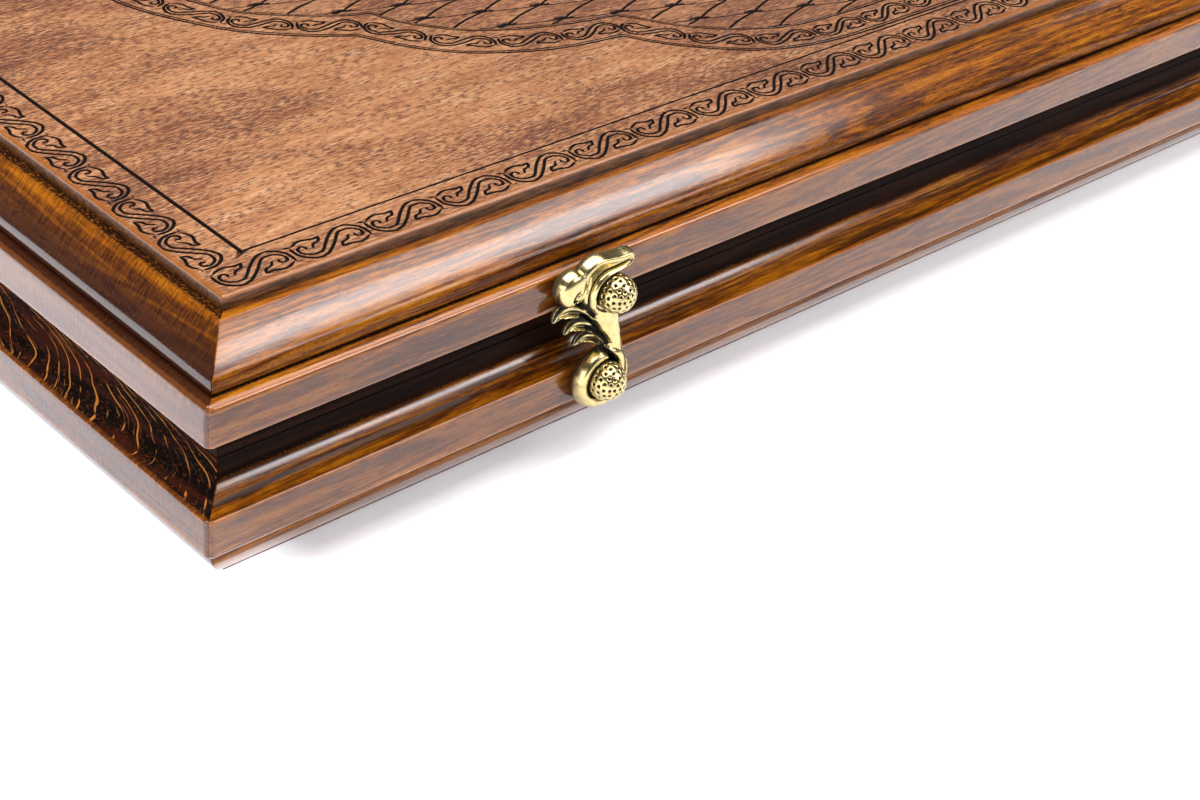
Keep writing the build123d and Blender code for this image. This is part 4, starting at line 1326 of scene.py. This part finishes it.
def grid_solid():
    """Front, side and back faces of the height map where the mask is positive, its edge moved onto the outline."""
    nu, nw = U.shape
    gu, gw = np.gradient(mask, G)
    g2 = np.maximum(gu**2 + gw**2, 0.25)
    corner = mask > 0
    quad = corner[:-1, :-1] | corner[1:, :-1] | corner[1:, 1:] | corner[:-1, 1:]
    cnt = corner[:-1, :-1].astype(int) + corner[1:, :-1] + corner[1:, 1:] + corner[:-1, 1:]
    quad = cnt >= 2
    used = np.zeros(U.shape, bool)
    used[:-1, :-1] |= quad
    used[1:, :-1] |= quad
    used[1:, 1:] |= quad
    used[:-1, 1:] |= quad
    edge_v = np.zeros(U.shape, bool)
    full = np.zeros(U.shape, int)
    full[:-1, :-1] += quad
    full[1:, :-1] += quad
    full[1:, 1:] += quad
    full[:-1, 1:] += quad
    edge_v = used & (full < 4)
    step_u = np.where(edge_v, -mask * gu / g2, 0)
    step_w = np.where(edge_v, -mask * gw / g2, 0)
    lim = 0.75 * G
    PU = U + np.clip(step_u, -lim, lim)
    PW = W + np.clip(step_w, -lim, lim)
    idx = -np.ones(U.shape, int)
    ii, jj = np.nonzero(used)
    idx[ii, jj] = np.arange(len(ii))
    n = len(ii)
    front = np.stack([PU[ii, jj], PW[ii, jj], np.where(edge_v, EDGE + 0.06, H)[ii, jj]], 1)
    behind = np.stack([PU[ii, jj], PW[ii, jj], np.where(edge_v, EDGE - 0.06, K)[ii, jj]], 1)
    faces = []
    qi, qj = np.nonzero(quad)
    count = {}
    for a, b in zip(qi, qj):
        q = (int(idx[a, b]), int(idx[a + 1, b]), int(idx[a + 1, b + 1]), int(idx[a, b + 1]))
        faces.append(q)
        faces.append(tuple(n + t for t in reversed(q)))
        for k in range(4):
            e = (q[k], q[(k + 1) % 4])
            if (e[1], e[0]) in count:
                del count[(e[1], e[0])]
            else:
                count[e] = 1
    for a, b in count:
        faces.append((b, a, n + a, n + b))
    pat = PAT[ii, jj]
    pat2 = np.concatenate([np.where(edge_v[ii, jj], 0.35, pat), np.full(n, 0.6)])
    return np.concatenate([front, behind]), faces, pat2


HK_V, HK_F, HK_P = grid_solid()


def hook(name, body, xc, mat):
    zc = HALF - STUD_H
    v = np.stack([xc + HK_V[:, 0], -HY - HK_V[:, 2], zc + HK_V[:, 1]], 1)
    return solid(name + "_body", v, outward(v, HK_F), body, [mat], {"pat": HK_P}, sharp=55, replaces=(name,))


latch_metal = brass("antique_brass_cast", True)
for label, xc in (("left", LATCH_X), ("right", -LATCH_X)):
    hook("latch_" + label + "_hook", label + "_hook", xc, latch_metal)
    stud("latch_" + label + "_pivot_stud", "base", xc, HALF - STUD_H, latch_metal)
    stud("latch_" + label + "_catch_stud", "lid", xc, HALF + STUD_H, latch_metal)


# ------------------------------------------------------------------ game pieces
def turned(profile, seg):
    """Ring list of a turned piece about its own axis, z up."""
    v, f = [(0.0, 0.0, profile[0][1])], []
    for r, z in profile[1:-1]:
        for s in range(seg):
            a = 2 * math.pi * s / seg
            v.append((r * math.cos(a), r * math.sin(a), z))
    v.append((0.0, 0.0, profile[-1][1]))
    n = len(profile) - 2
    for s in range(seg):
        t = (s + 1) % seg
        f.append((0, 1 + s, 1 + t))
        e = 1 + (n - 1) * seg
        f.append((len(v) - 1, e + t, e + s))
        for r in range(n - 1):
            b0, b1 = 1 + r * seg, 1 + (r + 1) * seg
            f.append((b0 + s, b1 + s, b1 + t, b0 + t))
    return v, f


def face_half():
    """Half profile of a checker's face, from the centre out: a shallow dish with two turned rings."""
    pts = [(0.0, 0.55), (2.0, 0.60), (3.2, 0.72), (3.9, 0.98), (4.4, 1.05), (4.9, 0.95), (5.4, 0.74), (6.4, 0.70), (8.6, 0.72),
           (9.6, 0.78), (10.0, 1.10), (10.5, 1.18), (11.0, 1.06), (11.4, 0.80), (11.9, 0.55), (12.4, 0.22), (13.0, 0.04),
           (13.8, 0.0), (16.4, 0.0), (17.3, 0.10), (18.1, 0.42), (18.65, 0.95), (18.9, 1.6), (19.0, 2.4)]
    return pts


CH_T = 9.0
prof = [(r, z) for r, z in face_half()]
prof = prof + [(18.92, 3.2), (18.72, 3.9), (18.66, 4.5), (18.72, 5.1), (18.92, 5.8)] + [(r, CH_T - z) for r, z in reversed(face_half())]
CK_V, CK_F = turned(prof, 72)


def band_y(i):
    inner = 2 * HY - 2 * WALL
    return -inner / 2 + (i + 0.5) * inner / 6


def checkers(name, mat, dark):
    v, f, tone = [], [], []
    x_first = -HX + WALL + 19.0 + 0.8
    floor = HALF - TRAY_H
    k = 0
    for col in range(5):
        for row in range(3):
            x = x_first + col * 38.6 if not dark else -x_first - col * 38.6
            y = band_y(row) if not dark else band_y(5 - row)
            b = len(v)
            v += [(x + a, y + c, floor + d) for a, c, d in CK_V]
            f += [tuple(i + b for i in q) for q in CK_F]
            tone += [((k * 7) % 15) / 14.0] * len(CK_V)
            k += 1
    me_faces = outward(v[:len(CK_V)], CK_F)
    if me_faces is not CK_F:
        f = [tuple(reversed(q)) for q in f]
    return solid(name + "_body", v, f, "base", [mat], {"tone": tone}, sharp=40,
                 replaces=(name,))


light_piece = inner_wood("piece_light", "X", ((168, 120, 66), (206, 164, 104), (228, 194, 140)), (7, 3, 1), 0.7, 0.35, 0.9, 0.3)
dark_piece = inner_wood("piece_dark", "X", ((22, 10, 6), (52, 26, 14), (84, 44, 24)), (71, 13, 5), 0.8, 0.5, 0.9, 0.28)
checkers("light_checkers", light_piece, False)
checkers("dark_checkers", dark_piece, True)


# ------------------------------------------------------------------ carried-over nodes and their finishes
board_mat = inner_wood("board_veneer_wood", "X", ((112, 62, 28), (152, 94, 48), (182, 122, 68)), (5, 77, 3), 0.5, 0.45, 0.8, 0.34)
light_mat = inner_wood("inlay_light_wood", "X", ((176, 130, 78), (210, 170, 112), (230, 196, 146)), (15, 27, 8), 0.5, 0.3, 0.9, 0.34)
dark_mat = inner_wood("inlay_dark_wood", "X", ((26, 12, 7), (54, 27, 15), (82, 44, 25)), (95, 7, 12), 0.5, 0.4, 0.9, 0.32)
hinge_mat = brass("hinge_brass_plate", False, (214, 176, 96), (70, 46, 18), 0.20)


def finish_of(name, mat):
    ob = nodes[name]
    if not ob.data.materials:
        ob.data.materials.append(mat)
    for i in range(len(ob.material_slots)):
        ob.material_slots[i].material = mat


for side in ("base", "lid"):
    finish_of(side + "_playing_board", board_mat)
    finish_of(side + "_light_points", light_mat)
    finish_of(side + "_dark_points", dark_mat)
    finish_of("hinge_" + side + "_screws", hinge_mat)
for label in ("left", "right"):
    for part in ("base_leaf", "lid_leaf", "pin"):
        finish_of("hinge_" + label + "_" + part, hinge_mat)
finish_of("dice", die_mat())

# paint in the pips of the two dice
g = 3.4
LAY = {
    1: [(0, 0)], 2: [(-g, -g), (g, g)], 3: [(-g, -g), (0, 0), (g, g)], 4: [(-g, -g), (g, g), (-g, g), (g, -g)],
    5: [(-g, -g), (g, g), (-g, g), (g, -g), (0, 0)], 6: [(-g, -g), (g, g), (-g, g), (g, -g), (-g, 0), (g, 0)],
}


def rot(axis, deg):
    return Matrix.Rotation(math.radians(deg), 4, axis)


TURN = {1: rot("X", 0), 6: rot("X", 180), 2: rot("X", 90), 5: rot("X", -90), 3: rot("Y", 90), 4: rot("Y", -90)}
BACKT = {1: rot("X", 0), 6: rot("X", 180), 2: rot("X", -90), 5: rot("X", 90), 3: rot("Y", -90), 4: rot("Y", 90)}
pv, pf = [], []
for px, py, turn, up in ((148.0, -58.0, 24, 6), (176.0, -74.0, -38, 5)):
    place_m = Matrix.Translation((px, py, HALF - TRAY_H + 7.0)) @ rot("Z", turn) @ BACKT[up]
    for n, r in TURN.items():
        for a, b in LAY[n]:
            base_i = len(pv)
            rr = 1.485
            t_edge = math.acos(0.72 / rr)
            rings_n, seg_n = 6, 20
            pv.append(place_m @ (r @ Vector((a, b, 7.0 + 0.7 - rr))))
            for i in range(1, rings_n + 1):
                t = t_edge * i / rings_n
                for s in range(seg_n):
                    q = 2 * math.pi * s / seg_n
                    pv.append(place_m @ (r @ Vector((a + rr * math.sin(t) * math.cos(q), b + rr * math.sin(t) * math.sin(q), 7.7 - rr * math.cos(t)))))
            for s in range(seg_n):
                t2 = (s + 1) % seg_n
                pf.append((base_i, base_i + 1 + s, base_i + 1 + t2))
                for i in range(rings_n - 1):
                    b0, b1 = base_i + 1 + i * seg_n, base_i + 1 + (i + 1) * seg_n
                    pf.append((b0 + s, b1 + s, b1 + t2, b0 + t2))
solid("dice_pips", [tuple(q) for q in pv], pf, "base", [pip_mat()], sharp=60)


# ------------------------------------------------------------------ floor, light
def floor_mat():
    M = Mat("floor_paper")
    p = M.obj()
    n1 = M.noise(p, 0.02, 3.0, 0.5)
    col = M.ramp(n1, [(0.3, (0.86, 0.87, 0.90, 1)), (0.7, (0.89, 0.90, 0.92, 1))])
    # painted light: the floor glows, much more strongly left of x = -282 mm, which lifts the shadow beside the left
    # side of the case
    M.set(Base_Color=col, Roughness=0.7, Specular_IOR_Level=0.2, Emission_Color=(0.90, 0.93, 1.0, 1.0),
          Emission_Strength=M.remap(M.xyz(M.obj())[0], -282.0, -264.0, 0.95, 0.13))
    return M.m


fm = bpy.data.meshes.new("floor")
fm.from_pydata([(-6, -6, -0.0003), (6, -6, -0.0003), (6, 6, -0.0003), (-6, 6, -0.0003)], [], [(0, 1, 2, 3)])
fm.materials.append(floor_mat())
floor = bpy.data.objects.new("floor", fm)
scene.collection.objects.link(floor)


def softbox(name, at, to, sx, sy, radiance, colour=(1, 1, 1)):
    d = bpy.data.lights.new(name, "AREA")
    d.shape = "RECTANGLE"
    d.size, d.size_y = sx, sy
    d.energy = radiance * math.pi * sx * sy
    d.color = colour
    o = bpy.data.objects.new(name, d)
    scene.collection.objects.link(o)
    o.location = at
    aim = Vector(to) - Vector(at)
    o.rotation_mode = "QUATERNION"
    o.rotation_quaternion = aim.to_track_quat("-Z", "Y")
    return o


softbox("key_right", (0.66, -1.12, 0.84), (0.66, -0.15, 0.05), 0.95, 0.68, 6.4, (1.0, 0.985, 0.995))
softbox("key_core", (0.58, -1.10, 0.70), (0.58, -0.15, 0.05), 0.68, 0.26, 10.0, (1.0, 0.985, 0.995))
softbox("overhead", (0.10, -0.10, 1.7), (0.10, -0.05, 0.0), 2.1, 1.7, 6.0, (1.0, 0.99, 0.97))
softbox("low_left", (-1.55, -0.40, 0.42), (-0.32, -0.05, 0.0), 1.5, 0.62, 3.4, (0.97, 0.98, 1.0))
softbox("far_right", (1.98, -0.92, 0.92), (1.98, -0.15, 0.06), 0.84, 0.07, 17.0, (1.0, 0.99, 1.0))
floor_light = softbox("left_floor", (-0.85, 0.35, 1.2), (-0.85, 0.35, 0.0), 0.7, 1.2, 5.0)
floor_light.data.spread = math.radians(60)

world = bpy.data.worlds.new("studio")
world.use_nodes = True
wn = world.node_tree
wn.nodes.clear()
bg = wn.nodes.new("ShaderNodeBackground")
bg.inputs[0].default_value = (0.93, 0.95, 1.0, 1.0)
bg.inputs[1].default_value = 0.12
wo = wn.nodes.new("ShaderNodeOutputWorld")
wn.links.new(bg.outputs[0], wo.inputs[0])
scene.world = world
scene.view_settings.view_transform = "Standard"
